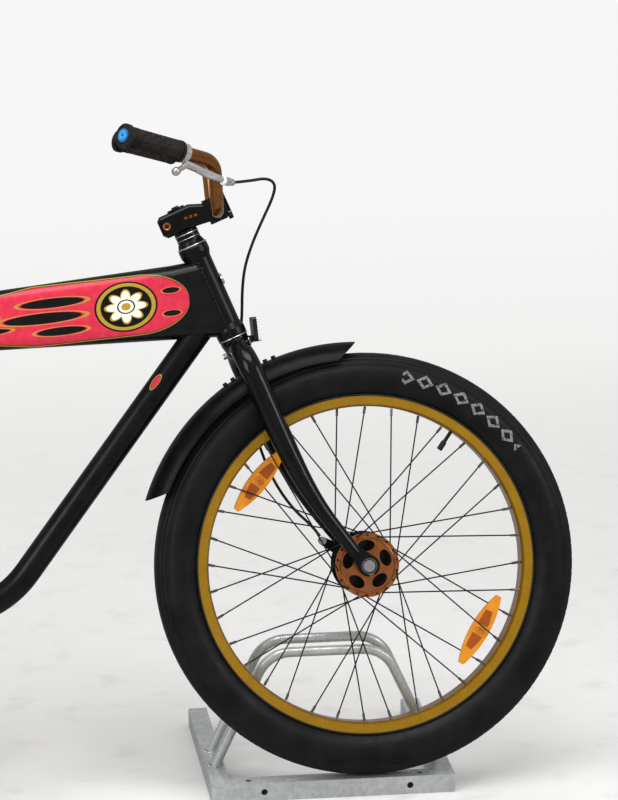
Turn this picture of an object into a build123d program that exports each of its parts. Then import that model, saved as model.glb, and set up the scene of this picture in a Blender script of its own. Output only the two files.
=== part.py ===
from build123d import *
import os
from math import asin, atan2, cos, degrees, hypot, pi, radians, sin, sqrt, tan

os.makedirs("parts", exist_ok=True)

# A cruiser bicycle with fat tyres. It leans to its left in a one-bike display rack, front wheel on the
# rack's front channel and rear wheel on the floor, with its side stand down.
# Millimetres. +X is forwards, +Y is the rider's left, +Z is up.
# The origin is on the floor, in the middle of the foot of the rack's front wall.
# The bicycle is drawn upright round its front axle, then every piece is leaned with place().

# Stance
LEAN = 13.0
CHANNEL_HEIGHT = 32.0
SEAT_GAP = 0.3

# Wheels
TYRE_RADIUS = 355.5
TYRE_SECTION = 38.0
WHEELBASE = 1165.0
TYRE_HEIGHT = 71.5
RIM_DEPTH = 18.0
RIM_HALF_WIDTH = 24.0
RIM_WALL = 4.0
RIM_SHOULDER = 4.0
BEAD_SEAT_DEPTH = 8.0
SPOKE_COUNT = 36
SPOKE_CROSSES = 3
SPOKE_DIAMETER = 2.4
NIPPLE_DIAMETER = 4.6
NIPPLE_LENGTH = 12.0
NIPPLE_SINK = 1.0
SPOKE_PHASE = 6.6
FLANGE_THICKNESS = 3.0
FLANGE_RIM = 4.0
RUNNING_GAP = 0.05

# Front hub with its drum brake on the left
FRONT_DROPOUT_HALF = 50.0
FRONT_AXLE_DIAMETER = 9.5
FRONT_FLANGE_RADIUS = 54.0
FRONT_RIGHT_FLANGE = 32.0
FRONT_LEFT_FLANGE = 24.0
FRONT_BARREL_RADIUS = 19.0
DRUM_RADIUS = 44.0
DRUM_FACE = 38.0
BRAKE_PLATE_THICKNESS = 5.0
BRAKE_ARM_FORWARD = 1.0
BRAKE_ARM_UP = 42.0
BRAKE_KNOB_RADIUS = 6.0
COVER_WINDOWS = 5

# Rear hub
REAR_DROPOUT_HALF = 60.0
REAR_AXLE_DIAMETER = 9.5
REAR_FLANGE_RADIUS = 36.0
REAR_FLANGE_HALF = 28.0
REAR_BARREL_RADIUS = 22.0

# Steering
HEAD_ANGLE = 69.1
FORK_OFFSET = 46.0
HEAD_TUBE_LENGTH = 167.0
HEAD_TUBE_RADIUS = 22.0
HEAD_COLLAR_RADIUS = 25.5
HEAD_COLLAR_LENGTH = 20.0
STEERER_RADIUS = 14.3
HEAD_BORE_RADIUS = 19.0
BEARING_LENGTH = 12.0
CROWN_ABOVE_TYRE = 36.5
CROWN_HEIGHT = 30.5
COLLAR_RADIUS = 24.0
FORK_HALF_WIDTH = 63.0
FORK_END_HALF_WIDTH = 56.0
BLADE_TOP_RADIUS = 19.0
BLADE_END_RADIUS = 10.0
DROPOUT_THICKNESS = 6.0
SPACER_RADIUS = 20.0
SPACER_STACK = 27.0
STEM_HEIGHT = 39.0
STEM_LENGTH = 62.0
STEM_DROP = 6.5
BAR_RADIUS = 11.1
BAR_TURN = 4.0
BAR_STRAIGHT_HALF = 40.0
GRIP_LENGTH = 122.0
GRIP_RADIUS = 16.5
GRIP_FLANGE_RADIUS = 20.0

# Front fender, drawn round a centre just behind the axle
FENDER_CENTRE_X = -14.0
FENDER_CENTRE_Z = 3.0
FENDER_ABOVE_TYRE = 16.5
FENDER_HALF_WIDTH = 41.0
FENDER_DEPTH = 29.0
FENDER_SHEET = 2.0

# Frame
BB_AHEAD_OF_REAR = 450.0
BB_Z = -60.0
BB_RADIUS = 21.0
BB_HALF_WIDTH = 36.0
SEAT_TUBE_ANGLE = 70.0
SEAT_TUBE_RADIUS = 17.0
SEAT_TUBE_ABOVE_TANK = 22.0
SEAT_POST_RADIUS = 13.6
POST_CLEARANCE = 0.1
DOWN_TUBE_RADIUS = 22.0
DOWN_TUBE_BEND_AHEAD = 121.0
DOWN_TUBE_BEND_ABOVE = 51.0
DOWN_TUBE_MEETS_HEAD = 60.0
TANK_FRONT_LOW = 1.5
TANK_FRONT_DEPTH = 139.0
TANK_REAR_DROP = 57.0
TANK_REAR_DEPTH = 73.0
TANK_FRONT_WIDTH = 46.0
TANK_MIDDLE_WIDTH = 58.0
TANK_SHOULDER = 0.11
TANK_REAR_WIDTH = 34.0
CHAINSTAY_RADIUS = 9.0
SEATSTAY_RADIUS = 8.5
STAY_HALF_WIDTH = 54.0

# Drive
CHAIN_PITCH = 12.7
RING_TEETH = 40
COG_TEETH = 18
CHAIN_LINE = 48.0
CHAIN_SLOT = 4.2
CHAIN_PLATE = 1.5
CHAIN_HEIGHT = 8.4
TOOTH_THICKNESS = 2.6
CRANK_LENGTH = 170.0
CRANK_INNER = 62.0
CRANK_THICKNESS = 12.0
GUARD_CUT = 28.0
GUARD_SHEET = 1.6
PEDAL_LENGTH = 96.0
PEDAL_WIDTH = 88.0
PEDAL_THICKNESS = 24.0

# Saddle
SADDLE_ABOVE_TUBE = 140.0
SADDLE_LENGTH = 265.0
SADDLE_WIDTH = 220.0

# Side stand
STAND_AHEAD_OF_REAR = 93.0
STAND_Y = 72.0
STAND_Z = -42.0
STAND_SPLAY = 20.0
STAND_RADIUS = 7.5
STAND_PIN_RADIUS = 5.0
STAND_KNUCKLE = 16.0

# Rack
RACK_LENGTH = 414.0
RACK_DEPTH = 385.0
CHANNEL_WIDTH = 32.0
CHANNEL_SHEET = 2.0
RACK_HOLE_RADIUS = 5.5
CONTACT_BEHIND_EDGE = 27.0
CONTACT_FROM_RIGHT = 142.0
HOOP_RADIUS = 8.5
HOOP_TOP = 229.0
HOOP_LEG_ANGLE = 25.0
HOOP_BEND = 60.0
HOOP_SPACING = 70.0
HOOP_CLEARANCE = 3.6

# Worked out from the sizes above
RIM_LIP_RADIUS = TYRE_RADIUS - TYRE_HEIGHT
RIM_INNER_RADIUS = RIM_LIP_RADIUS - RIM_DEPTH
FENDER_RADIUS = TYRE_RADIUS + FENDER_ABOVE_TYRE
CROWN_START = TYRE_RADIUS + CROWN_ABOVE_TYRE
HEAD_TUBE_START = CROWN_START + CROWN_HEIGHT
STEM_BOTTOM = HEAD_TUBE_START + HEAD_TUBE_LENGTH + SEAT_GAP + SPACER_STACK
STEM_CENTRE = STEM_BOTTOM + STEM_HEIGHT / 2
BB_X = BB_AHEAD_OF_REAR - WHEELBASE
STAND_X = STAND_AHEAD_OF_REAR - WHEELBASE
RING_RADIUS_CENTRE = TYRE_RADIUS - TYRE_SECTION
AXLE_Z = CHANNEL_HEIGHT + SEAT_GAP + RING_RADIUS_CENTRE * cos(radians(LEAN)) + TYRE_SECTION
AXLE_X = RACK_LENGTH / 2 - CONTACT_FROM_RIGHT
RACK_FRONT = -CHANNEL_SHEET / 2
CONTACT_Y = RACK_FRONT + CONTACT_BEHIND_EDGE
AXLE_Y = CONTACT_Y + RING_RADIUS_CENTRE * sin(radians(LEAN))
PITCH = degrees(asin((CHANNEL_HEIGHT + SEAT_GAP) / (WHEELBASE * cos(radians(LEAN)))))
LEANING = Pos(AXLE_X, AXLE_Y, AXLE_Z) * Rot(X=-LEAN) * Rot(Y=-PITCH)
RAKE = 90.0 - HEAD_ANGLE
STEER_FOOT = FORK_OFFSET / cos(radians(RAKE))
STEERING = Pos(-STEER_FOOT, 0, 0) * Rot(Y=-RAKE)
HEAD_TOP = HEAD_TUBE_START + HEAD_TUBE_LENGTH
TANK_FRONT_TOP = (HEAD_TUBE_START + TANK_FRONT_LOW + TANK_FRONT_DEPTH) * cos(radians(RAKE))
TANK_REAR_TOP = TANK_FRONT_TOP - TANK_REAR_DROP
TANK_REAR_BOTTOM = TANK_REAR_TOP - TANK_REAR_DEPTH
SEAT_TUBE_TOP = TANK_REAR_TOP + SEAT_TUBE_ABOVE_TANK
SADDLE_HEIGHT = SEAT_TUBE_TOP + SADDLE_ABOVE_TUBE
STAY_JOINT_HEIGHT = TANK_REAR_TOP - 30.0
RING_PITCH_RADIUS = CHAIN_PITCH / (2 * sin(pi / RING_TEETH))
COG_PITCH_RADIUS = CHAIN_PITCH / (2 * sin(pi / COG_TEETH))
STAY_END_X = -WHEELBASE + 26


def save(shape, name):
    export_step(shape, "parts/" + name + ".step")


def place(shape, name):
    save(LEANING * shape, name)


def side_cylinder(radius, y_low, y_high, x=0.0, z=0.0):
    """A cylinder whose axis runs across the bicycle."""
    middle = (y_low + y_high) / 2
    return Pos(x, middle, z) * Rot(X=90) * Cylinder(radius, abs(y_high - y_low))


def rod(start, end, radius):
    """A straight round bar between two points."""
    start = Vector(start)
    along = Vector(end) - start
    plane = Plane(origin=start, z_dir=along)
    return extrude(plane * Circle(radius), along.length)


def prism(start, end, radius, sides):
    """A straight bar of few flat sides between two points."""
    start = Vector(start)
    along = Vector(end) - start
    plane = Plane(origin=start, z_dir=along)
    return extrude(plane * RegularPolygon(radius, sides), along.length)


def tapered_tube(points, radii):
    """A smooth round bar through a few points, each with its own radius."""
    points = [Vector(p) for p in points]
    sections = []
    for i, point in enumerate(points):
        before = points[max(i - 1, 0)]
        after = points[min(i + 1, len(points) - 1)]
        plane = Plane(origin=point, z_dir=after - before)
        sections.append(plane * Circle(radii[i]))
    return loft(sections)


def bent_tube(points, bends, radius):
    """A round tube of one diameter along straight runs joined by arcs."""
    path = FilletPolyline(*points, radius=bends)
    profile = Plane(origin=path @ 0, z_dir=path % 0) * Circle(radius)
    return sweep(profile, path)


def side_plate(sketch, y_low, y_high):
    """A flat plate: its outline has the bicycle's X and Z as its own X and Y."""
    plane = Plane(origin=(0, y_high, 0), x_dir=(1, 0, 0), z_dir=(0, -1, 0))
    return extrude(plane * sketch, y_high - y_low)


def turned(profile_points, about=(0.0, 0.0)):
    """A ring revolved round a cross axis from (across, radius) points."""
    plane = Plane(origin=(about[0], 0, about[1]), x_dir=(0, 1, 0), z_dir=(1, 0, 0))
    face = make_face(Polyline(*profile_points, close=True))
    axis = Axis((about[0], 0, about[1]), (0, 1, 0))
    return revolve(plane * face, axis, 360)


def tyre():
    """Round rubber section with its bead standing in the rim."""
    bead = sqrt(TYRE_SECTION**2 - (RING_RADIUS_CENTRE - RIM_LIP_RADIUS - 1.0) ** 2)
    seat = RIM_LIP_RADIUS - BEAD_SEAT_DEPTH + SEAT_GAP
    foot_height = RING_RADIUS_CENTRE - seat
    section = Pos(0, RING_RADIUS_CENTRE) * Circle(TYRE_SECTION)
    foot = Pos(0, seat + foot_height / 2) * Rectangle(2 * bead, foot_height)
    inside = Pos(0, RIM_LIP_RADIUS - 40) * Rectangle(4 * TYRE_SECTION, 80)
    plane = Plane(origin=(0, 0, 0), x_dir=(0, 1, 0), z_dir=(1, 0, 0))
    return revolve(plane * ((section - inside) + foot), Axis.Y, 360)


def rim():
    """Channel rim: two lips for the tyre, a bead seat and a flat inner wall."""
    w = RIM_HALF_WIDTH
    seat = RIM_LIP_RADIUS - BEAD_SEAT_DEPTH
    profile = [
        (-w, RIM_LIP_RADIUS),
        (-w, RIM_INNER_RADIUS + RIM_SHOULDER),
        (-w + 6, RIM_INNER_RADIUS),
        (w - 6, RIM_INNER_RADIUS),
        (w, RIM_INNER_RADIUS + RIM_SHOULDER),
        (w, RIM_LIP_RADIUS),
        (w - RIM_WALL, RIM_LIP_RADIUS),
        (w - RIM_WALL, seat),
        (-w + RIM_WALL, seat),
        (-w + RIM_WALL, RIM_LIP_RADIUS),
    ]
    return turned(profile)


def spoke(hub_point, rim_point, flange_radius):
    """One wire that lies flat on its flange, bends at the flange's edge and ends in a nipple."""
    flat = Vector(rim_point.X - hub_point.X, 0, rim_point.Z - hub_point.Z).normalized()
    inward = hub_point.X * flat.X + hub_point.Z * flat.Z
    hole_radius = hypot(hub_point.X, hub_point.Z)
    leave = sqrt(inward**2 + flange_radius**2 - hole_radius**2) - inward
    knee = hub_point + flat * (leave + SPOKE_DIAMETER)
    along = (rim_point - knee).normalized()
    end = rim_point - along * NIPPLE_SINK
    nipple_start = end - along * NIPPLE_LENGTH
    wire = prism(hub_point, knee + flat * 0.5, SPOKE_DIAMETER / 2, 8)
    wire += prism(knee, nipple_start, SPOKE_DIAMETER / 2, 8)
    return wire + prism(nipple_start, end, NIPPLE_DIAMETER / 2, 6)


def spokes(right_flange, left_flange, flange_radius):
    """Tangent-laced spokes, each with its nipple, all clear of each other where they cross."""
    per_flange = SPOKE_COUNT // 2
    pitch = 360.0 / per_flange
    hole_radius = flange_radius - FLANGE_RIM
    face = FLANGE_THICKNESS / 2 + SPOKE_DIAMETER / 2 + SEAT_GAP
    wires = []
    for side, flange in ((-1, right_flange), (1, left_flange)):
        for k in range(per_flange):
            outer = k % 2 == 0
            turn = 1 if outer else -1
            rim_angle = SPOKE_PHASE + pitch * k + (pitch / 2 if side > 0 else 0.0)
            hub_angle = rim_angle + turn * SPOKE_CROSSES * pitch
            across = side * (flange + (face if outer else -face))
            rim_across = side * (6.0 if outer else 4.0)
            a = radians(rim_angle)
            h = radians(hub_angle)
            hub_point = Vector(hole_radius * cos(h), across, hole_radius * sin(h))
            rim_point = Vector(RIM_INNER_RADIUS * cos(a), rim_across, RIM_INNER_RADIUS * sin(a))
            wires.append(spoke(hub_point, rim_point, flange_radius))
    return Compound(children=wires)


def flange_disc(y_middle, radius):
    half = FLANGE_THICKNESS / 2
    return side_cylinder(radius, y_middle - half, y_middle + half)


def front_hub():
    """Barrel, pierced right flange cover, and the brake drum on the left, bored for the axle."""
    hub = side_cylinder(FRONT_BARREL_RADIUS, -FRONT_RIGHT_FLANGE - 6, DRUM_FACE - 20)
    hub += flange_disc(-FRONT_RIGHT_FLANGE, FRONT_FLANGE_RADIUS)
    hub += flange_disc(FRONT_LEFT_FLANGE, FRONT_FLANGE_RADIUS)
    hub += side_cylinder(DRUM_RADIUS, FRONT_LEFT_FLANGE - 10, DRUM_FACE)
    window = Pos(0, 33) * Ellipse(14.5, 9.5)
    windows = Sketch() + [Rot(Z=360.0 * i / COVER_WINDOWS) * window for i in range(COVER_WINDOWS)]
    hub -= side_plate(windows, -FRONT_RIGHT_FLANGE - 4, -FRONT_RIGHT_FLANGE + 4)
    hub -= side_cylinder(FRONT_AXLE_DIAMETER / 2 + RUNNING_GAP, -90, 90)
    return hub


def front_axle():
    """Axle with its lock nuts inside the fork ends and its track nuts outside."""
    end = FRONT_DROPOUT_HALF + DROPOUT_THICKNESS + 12
    axle = side_cylinder(FRONT_AXLE_DIAMETER / 2, -end, end)
    right_hub_end = FRONT_RIGHT_FLANGE + 6 + SEAT_GAP
    axle += side_cylinder(9, -FRONT_DROPOUT_HALF, -right_hub_end)
    outside = FRONT_DROPOUT_HALF + DROPOUT_THICKNESS
    for side in (-1, 1):
        axle += side_cylinder(13, side * outside, side * (outside + 2))
        nut = Pos(0, side * (outside + 6), 0) * Rot(X=90) * extrude(RegularPolygon(9, 6), 4, both=True)
        axle += nut
    return axle


def drum_brake():
    """Backing plate of the drum, with the arm and knob that the cable pulls."""
    low = DRUM_FACE + SEAT_GAP
    high = low + BRAKE_PLATE_THICKNESS
    knob = steering_point(BRAKE_ARM_FORWARD, 0, BRAKE_ARM_UP)
    plate = side_cylinder(DRUM_RADIUS + 2, low, high)
    plate += side_cylinder(12, low, FRONT_DROPOUT_HALF)
    arm = make_hull((Circle(13) + Pos(knob.X, knob.Z) * Circle(BRAKE_KNOB_RADIUS + 1)).edges())
    plate += side_plate(arm, high - 1, high + 2.2)
    plate += side_cylinder(BRAKE_KNOB_RADIUS, high, high + 14, knob.X, knob.Z)
    plate -= side_cylinder(FRONT_AXLE_DIAMETER / 2, low - 1, FRONT_DROPOUT_HALF + 1)
    return plate


def steering_point(forward, across, along):
    """A point given from the steering axis, in the bicycle's upright frame."""
    c, s = cos(radians(RAKE)), sin(radians(RAKE))
    return Vector(-STEER_FOOT + forward * c - along * s, across, forward * s + along * c)


def fork_blade(side):
    half = FORK_HALF_WIDTH
    top = CROWN_START
    stations = [
        (0, 8, top + 12, 17.5),
        (0, 26, top + 9, 18.0),
        (0, 43, top + 1, 18.5),
        (0, 55, top - 11, BLADE_TOP_RADIUS),
        (0, half - 1.5, top - 26, BLADE_TOP_RADIUS),
        (0, half, top - 47, BLADE_TOP_RADIUS),
        (-1, half, top * 0.64, BLADE_TOP_RADIUS),
        (1, half - 1.5, top * 0.485, 17.0),
        (7, half - 3, top * 0.332, 14.0),
        (18, half - 5, top * 0.191, 12.0),
        (34, FORK_END_HALF_WIDTH, 12, BLADE_END_RADIUS),
    ]
    points = [steering_point(p, side * y, s) for p, y, s, _ in stations]
    return tapered_tube(points, [r for _, _, _, r in stations])


def fork():
    """Fork crown, two raked blades, flat ends round the axle, and the steerer up through the stem."""
    crown = STEERING * Pos(0, 0, CROWN_START) * Cone(
        19, COLLAR_RADIUS, 22, align=(Align.CENTER, Align.CENTER, Align.MIN)
    )
    collar_height = CROWN_HEIGHT - SEAT_GAP - 22
    collar = Pos(0, 0, CROWN_START + 22) * Cylinder(
        COLLAR_RADIUS, collar_height, align=(Align.CENTER, Align.CENTER, Align.MIN)
    )
    steerer_length = STEM_CENTRE + STEM_HEIGHT / 2 - CROWN_START - 8
    steerer = Pos(0, 0, CROWN_START + 8) * Cylinder(
        STEERER_RADIUS, steerer_length, align=(Align.CENTER, Align.CENTER, Align.MIN)
    )
    body = crown + STEERING * collar + STEERING * steerer
    for side in (-1, 1):
        body += fork_blade(side)
        body += fork_end(side)
    return body


def fork_end(side):
    """The flat slotted plate that holds the axle."""
    tip = steering_point(34, 0, 12)
    plate = Pos(0, 0) * Circle(18)
    plate = make_hull((plate + Pos(tip.X - 2, tip.Z + 6) * Circle(9)).edges())
    slot = Pos(0, 0) * Circle(FRONT_AXLE_DIAMETER / 2)
    slot += Pos(3, -12) * Rot(Z=14) * Rectangle(FRONT_AXLE_DIAMETER, 24)
    low = FRONT_DROPOUT_HALF
    high = low + DROPOUT_THICKNESS
    if side > 0:
        return side_plate(plate - slot, low, high)
    return side_plate(plate - slot, -high, -low)


def headset_spacers():
    """Top cover and two spacers between the head tube and the stem."""
    base = HEAD_TOP + SEAT_GAP
    height = STEM_BOTTOM - base
    cover = Pos(0, 0, base) * Cone(
        24, SPACER_RADIUS + 1, 9, align=(Align.CENTER, Align.CENTER, Align.MIN)
    )
    stack = Pos(0, 0, base + 8) * Cylinder(
        SPACER_RADIUS, height - 8, align=(Align.CENTER, Align.CENTER, Align.MIN)
    )
    bore = Pos(0, 0, base - 1) * Cylinder(
        STEERER_RADIUS, height + 2, align=(Align.CENTER, Align.CENTER, Align.MIN)
    )
    return STEERING * (cover + stack - bore)


COCKPIT = STEERING * Rot(Z=-BAR_TURN)
CLAMP_ALONG = STEM_CENTRE - STEM_DROP


def stem():
    """One forged block from behind the steerer to the rear half of the bar clamp."""
    cap = Pos(0, 0, STEM_BOTTOM + STEM_HEIGHT / 2) * Cylinder(
        15, STEM_HEIGHT / 2 + 2.5, align=(Align.CENTER, Align.CENTER, Align.MIN)
    )
    sections = []
    for x, width, height, centre in (
        (-37, 24, STEM_HEIGHT - 13, STEM_CENTRE),
        (-31, 35, STEM_HEIGHT - 1, STEM_CENTRE),
        (SPACER_RADIUS + 2, 37, STEM_HEIGHT, STEM_CENTRE),
        (STEM_LENGTH - 14, 44, 32, CLAMP_ALONG),
    ):
        plane = Plane(origin=(x, 0, centre), x_dir=(0, 1, 0), z_dir=(1, 0, 0))
        sections.append(plane * RectangleRounded(width, height, 8))
    body = loft(sections, ruled=True)
    clamp = Pos(STEM_LENGTH - 9, 0, CLAMP_ALONG) * Box(17, 48, 42)
    whole = cap + body + clamp
    whole -= Pos(0, 0, STEM_CENTRE + STEM_HEIGHT / 2 - 50) * Cylinder(STEERER_RADIUS, 100)
    whole -= Pos(STEM_LENGTH, 0, CLAMP_ALONG) * Rot(X=90) * Cylinder(BAR_RADIUS, 60)
    return COCKPIT * whole


def stem_faceplate():
    """Front half of the bar clamp, faceted, with a window."""
    plate = Pos(STEM_LENGTH + 9, 0, CLAMP_ALONG) * Box(16, 48, 42)
    plate = chamfer(plate.faces().sort_by(Axis.X)[-1].edges(), 6)
    plate -= Pos(STEM_LENGTH + 14, 0, CLAMP_ALONG) * Box(16, 14, 18)
    plate -= Pos(STEM_LENGTH, 0, CLAMP_ALONG) * Rot(X=90) * Cylinder(BAR_RADIUS, 60)
    return COCKPIT * plate


LOWER_BEND = (58.0, 92.0, STEM_CENTRE - 12.0)
UPPER_BEND = (86.0, 149.0, STEM_CENTRE + 68.0)
GRIP_OUTER = (-34.0, 275.0, STEM_CENTRE + 165.0)
BAR_BEND = 44.0


def handlebar():
    """High-rise bar: out from the clamp, up, then swept back into the grips."""

    def mirrored(point, side):
        return (point[0], side * point[1], point[2])

    points = [mirrored(p, -1) for p in (GRIP_OUTER, UPPER_BEND, LOWER_BEND)]
    points += [mirrored((STEM_LENGTH, BAR_STRAIGHT_HALF, CLAMP_ALONG), side) for side in (-1, 1)]
    points += [mirrored(p, 1) for p in (LOWER_BEND, UPPER_BEND, GRIP_OUTER)]
    bends = [BAR_BEND, BAR_BEND, 200.0, 200.0, BAR_BEND, BAR_BEND]
    return COCKPIT * bent_tube(points, bends, BAR_RADIUS)


def grip_axis(side):
    """Outer end of the bar on one side and the direction towards it."""
    bend = Vector(UPPER_BEND[0], side * UPPER_BEND[1], UPPER_BEND[2])
    outer = Vector(GRIP_OUTER[0], side * GRIP_OUTER[1], GRIP_OUTER[2])
    return outer, (outer - bend).normalized()


def grip(side):
    """Rubber sleeve with a flange at its outer end."""
    outer, along = grip_axis(side)
    start = outer - along * GRIP_LENGTH
    sleeve = rod(start, outer, GRIP_RADIUS)
    sleeve += rod(outer - along * 7, outer, GRIP_FLANGE_RADIUS)
    sleeve += rod(start, start + along * 5, GRIP_RADIUS + 1.5)
    sleeve -= rod(start - along, outer + along, BAR_RADIUS)
    return COCKPIT * sleeve


def grip_plug(side):
    outer, along = grip_axis(side)
    return COCKPIT * rod(outer, outer + along * 2.5, BAR_RADIUS)


def lever_point(forward, across, along):
    """A point by the lever, its height given from the stem's middle, in the turned bar's frame."""
    return Vector(forward, across, STEM_CENTRE + along)


LEVER_PIVOT = lever_point(91.0, -145.0, 30.0)
LEVER_BARREL_END = lever_point(100.0, -127.0, 24.0)
LEVER_BLADE = [
    lever_point(66.0, -168.0, 50.0),
    lever_point(52.0, -183.0, 68.0),
    lever_point(39.0, -204.0, 81.0),
    lever_point(20.0, -228.0, 79.0),
]


def brake_lever():
    """Clamp on the right of the bar, its neck, the pivot with the cable barrel, and the bent blade."""
    outer, along = grip_axis(-1)
    ring_start = outer - along * (GRIP_LENGTH + 13)
    ring_middle = ring_start + along * 5.5
    ring = rod(ring_start, ring_start + along * 11, BAR_RADIUS + 4.5)
    away = LEVER_PIVOT - ring_middle
    away = (away - along * away.dot(along)).normalized()
    heading = (LEVER_BARREL_END - LEVER_PIVOT).normalized()
    whole = ring + rod(ring_middle + away * (BAR_RADIUS + 5.5), LEVER_PIVOT, 5.0)
    whole += rod(LEVER_PIVOT - heading * 11, LEVER_PIVOT + heading * 8, 7.0)
    whole += rod(LEVER_PIVOT, LEVER_BARREL_END, 4.5)
    points = [LEVER_PIVOT] + LEVER_BLADE
    for start, end in zip(points, points[1:]):
        overlap = (end - start).normalized() * 1.5
        whole += rod(start - overlap, end + overlap, 4.4)
    knob = Cylinder(7, 13)
    knob = fillet(knob.edges().filter_by(GeomType.CIRCLE), 5)
    whole += Plane(origin=LEVER_BLADE[-1], z_dir=LEVER_BLADE[-1] - LEVER_BLADE[-2]) * knob
    whole -= rod(ring_start - along * 2, ring_start + along * 14, BAR_RADIUS)
    return COCKPIT * whole


def head_solid(grow=0.0):
    """Outer form of the head tube: a straight tube between two flared collars."""
    r = HEAD_TUBE_RADIUS + grow
    c = HEAD_COLLAR_RADIUS + grow
    top = HEAD_TUBE_LENGTH
    profile = [
        (0, 0),
        (c - 1.5, 0),
        (c, 3),
        (c, HEAD_COLLAR_LENGTH - 6),
        (r, HEAD_COLLAR_LENGTH + 4),
        (r, top - HEAD_COLLAR_LENGTH - 4),
        (c, top - HEAD_COLLAR_LENGTH + 6),
        (c, top - 3),
        (c - 1.5, top),
        (0, top),
    ]
    face = Plane.XZ * make_face(Polyline(*profile, close=True))
    return STEERING * Pos(0, 0, HEAD_TUBE_START) * revolve(face, Axis.Z, 360)


def head_tube():
    """Head tube, hollow, with the two headset bearings seated in its ends."""
    middle = HEAD_TUBE_START + HEAD_TUBE_LENGTH / 2
    bore = Pos(0, 0, middle) * Cylinder(HEAD_BORE_RADIUS, HEAD_TUBE_LENGTH - 2 * BEARING_LENGTH)
    shaft = Pos(0, 0, middle) * Cylinder(STEERER_RADIUS + RUNNING_GAP, HEAD_TUBE_LENGTH + 2)
    return head_solid() - STEERING * (bore + shaft)


def seat_tube_point(z, across=0.0):
    return Vector(BB_X - (z - BB_Z) / tan(radians(SEAT_TUBE_ANGLE)), across, z)


def tank():
    """Deep tapered top tube, shaped like a motorcycle's tank, its front end cut to the head tube."""
    front = steering_point(0, 0, HEAD_TUBE_START + TANK_FRONT_LOW + TANK_FRONT_DEPTH / 2)
    forward = steering_point(1, 0, 0) - steering_point(0, 0, 0)
    rear = seat_tube_point((TANK_REAR_TOP + TANK_REAR_BOTTOM) / 2)
    upright = TANK_FRONT_DEPTH * cos(radians(RAKE))
    shoulder = front + (rear - front) * TANK_SHOULDER
    shoulder_depth = upright + (TANK_REAR_DEPTH - upright) * TANK_SHOULDER
    sections = []
    for origin, heading, width, depth in (
        (front, forward, TANK_FRONT_WIDTH, TANK_FRONT_DEPTH),
        (shoulder, Vector(1, 0, 0), TANK_MIDDLE_WIDTH, shoulder_depth),
        (rear, Vector(1, 0, 0), TANK_REAR_WIDTH, TANK_REAR_DEPTH),
    ):
        plane = Plane(origin=origin, x_dir=(0, 1, 0), z_dir=heading)
        sections.append(plane * RectangleRounded(width, depth, min(width, depth) * 0.42))
    return loft(sections, ruled=True) - head_solid() - seat_tube_solid()


def seat_tube_solid():
    return rod(seat_tube_point(BB_Z), seat_tube_point(SEAT_TUBE_TOP), SEAT_TUBE_RADIUS)


def bb_solid():
    return side_cylinder(BB_RADIUS, -BB_HALF_WIDTH, BB_HALF_WIDTH, BB_X, BB_Z)


def seat_tube():
    """Seat tube, open at the top for the seat post."""
    tube = seat_tube_solid() - bb_solid()
    along = (seat_tube_point(SEAT_TUBE_TOP) - seat_tube_point(BB_Z)).normalized()
    top = seat_tube_point(SEAT_TUBE_TOP)
    collar = rod(top - along * 14, top, SEAT_TUBE_RADIUS + 3)
    tube += collar
    tube -= rod(top - along * 150, top + along, SEAT_POST_RADIUS)
    return tube


def down_tube():
    """Down tube: straight from the head tube, then bent in towards the crank."""
    bend = Vector(BB_X + DOWN_TUBE_BEND_AHEAD, 0, BB_Z + DOWN_TUBE_BEND_ABOVE)
    top = steering_point(0, 0, HEAD_TUBE_START + DOWN_TUBE_MEETS_HEAD)
    tube = bent_tube([top, bend, Vector(BB_X, 0, BB_Z)], 170.0, DOWN_TUBE_RADIUS)
    return tube - head_solid() - tank() - bb_solid() - seat_tube_solid()


def bottom_bracket():
    """Shell with the crank's running bore."""
    return bb_solid() - side_cylinder(10 + RUNNING_GAP, -90, 90, BB_X, BB_Z)


def chainstay_tube(side, radius):
    points = [
        Vector(BB_X - 8, side * 26, BB_Z + 2),
        Vector(BB_X - 76, side * 33, BB_Z + 10),
        Vector(BB_X - 130, side * STAY_HALF_WIDTH, BB_Z + 18),
        Vector(STAY_END_X, side * (REAR_DROPOUT_HALF + 3), -4),
    ]
    return bent_tube(points, [90.0, 70.0], radius)


def chainstays():
    """Two stays from the shell round the tyre to the rear axle plates."""
    stays = []
    for side in (-1, 1):
        stay = chainstay_tube(side, CHAINSTAY_RADIUS)
        plate = make_hull((Pos(-WHEELBASE, 0) * Circle(16) + Pos(STAY_END_X - 4, -4) * Circle(9)).edges())
        plate -= Pos(-WHEELBASE, 0) * Circle(REAR_AXLE_DIAMETER / 2)
        low, high = REAR_DROPOUT_HALF, REAR_DROPOUT_HALF + DROPOUT_THICKNESS
        stay += side_plate(plate, low, high) if side > 0 else side_plate(plate, -high, -low)
        if side > 0:
            stay += stand_bracket()
        stays.append(stay - bb_solid())
    return Compound(children=stays)


def seatstay_points(side):
    return [
        seat_tube_point(STAY_JOINT_HEIGHT, side * 12),
        Vector(seat_tube_point(STAY_JOINT_HEIGHT).X - 45, side * STAY_HALF_WIDTH, STAY_JOINT_HEIGHT - 46),
        Vector(-WHEELBASE + 10, side * (REAR_DROPOUT_HALF + DROPOUT_THICKNESS + SEATSTAY_RADIUS), 12),
    ]


def on_stay_at_radius(radius):
    """The point on a seat stay's straight run that is this far from the rear axle, seen from the side."""
    _, start, end = seatstay_points(1)
    along = (end - start).normalized()
    from_axle = start - Vector(-WHEELBASE, 0, 0)
    a = along.X**2 + along.Z**2
    b = from_axle.X * along.X + from_axle.Z * along.Z
    c = from_axle.X**2 + from_axle.Z**2 - radius**2
    return start + along * ((-b - sqrt(b**2 - a * c)) / a)


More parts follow.
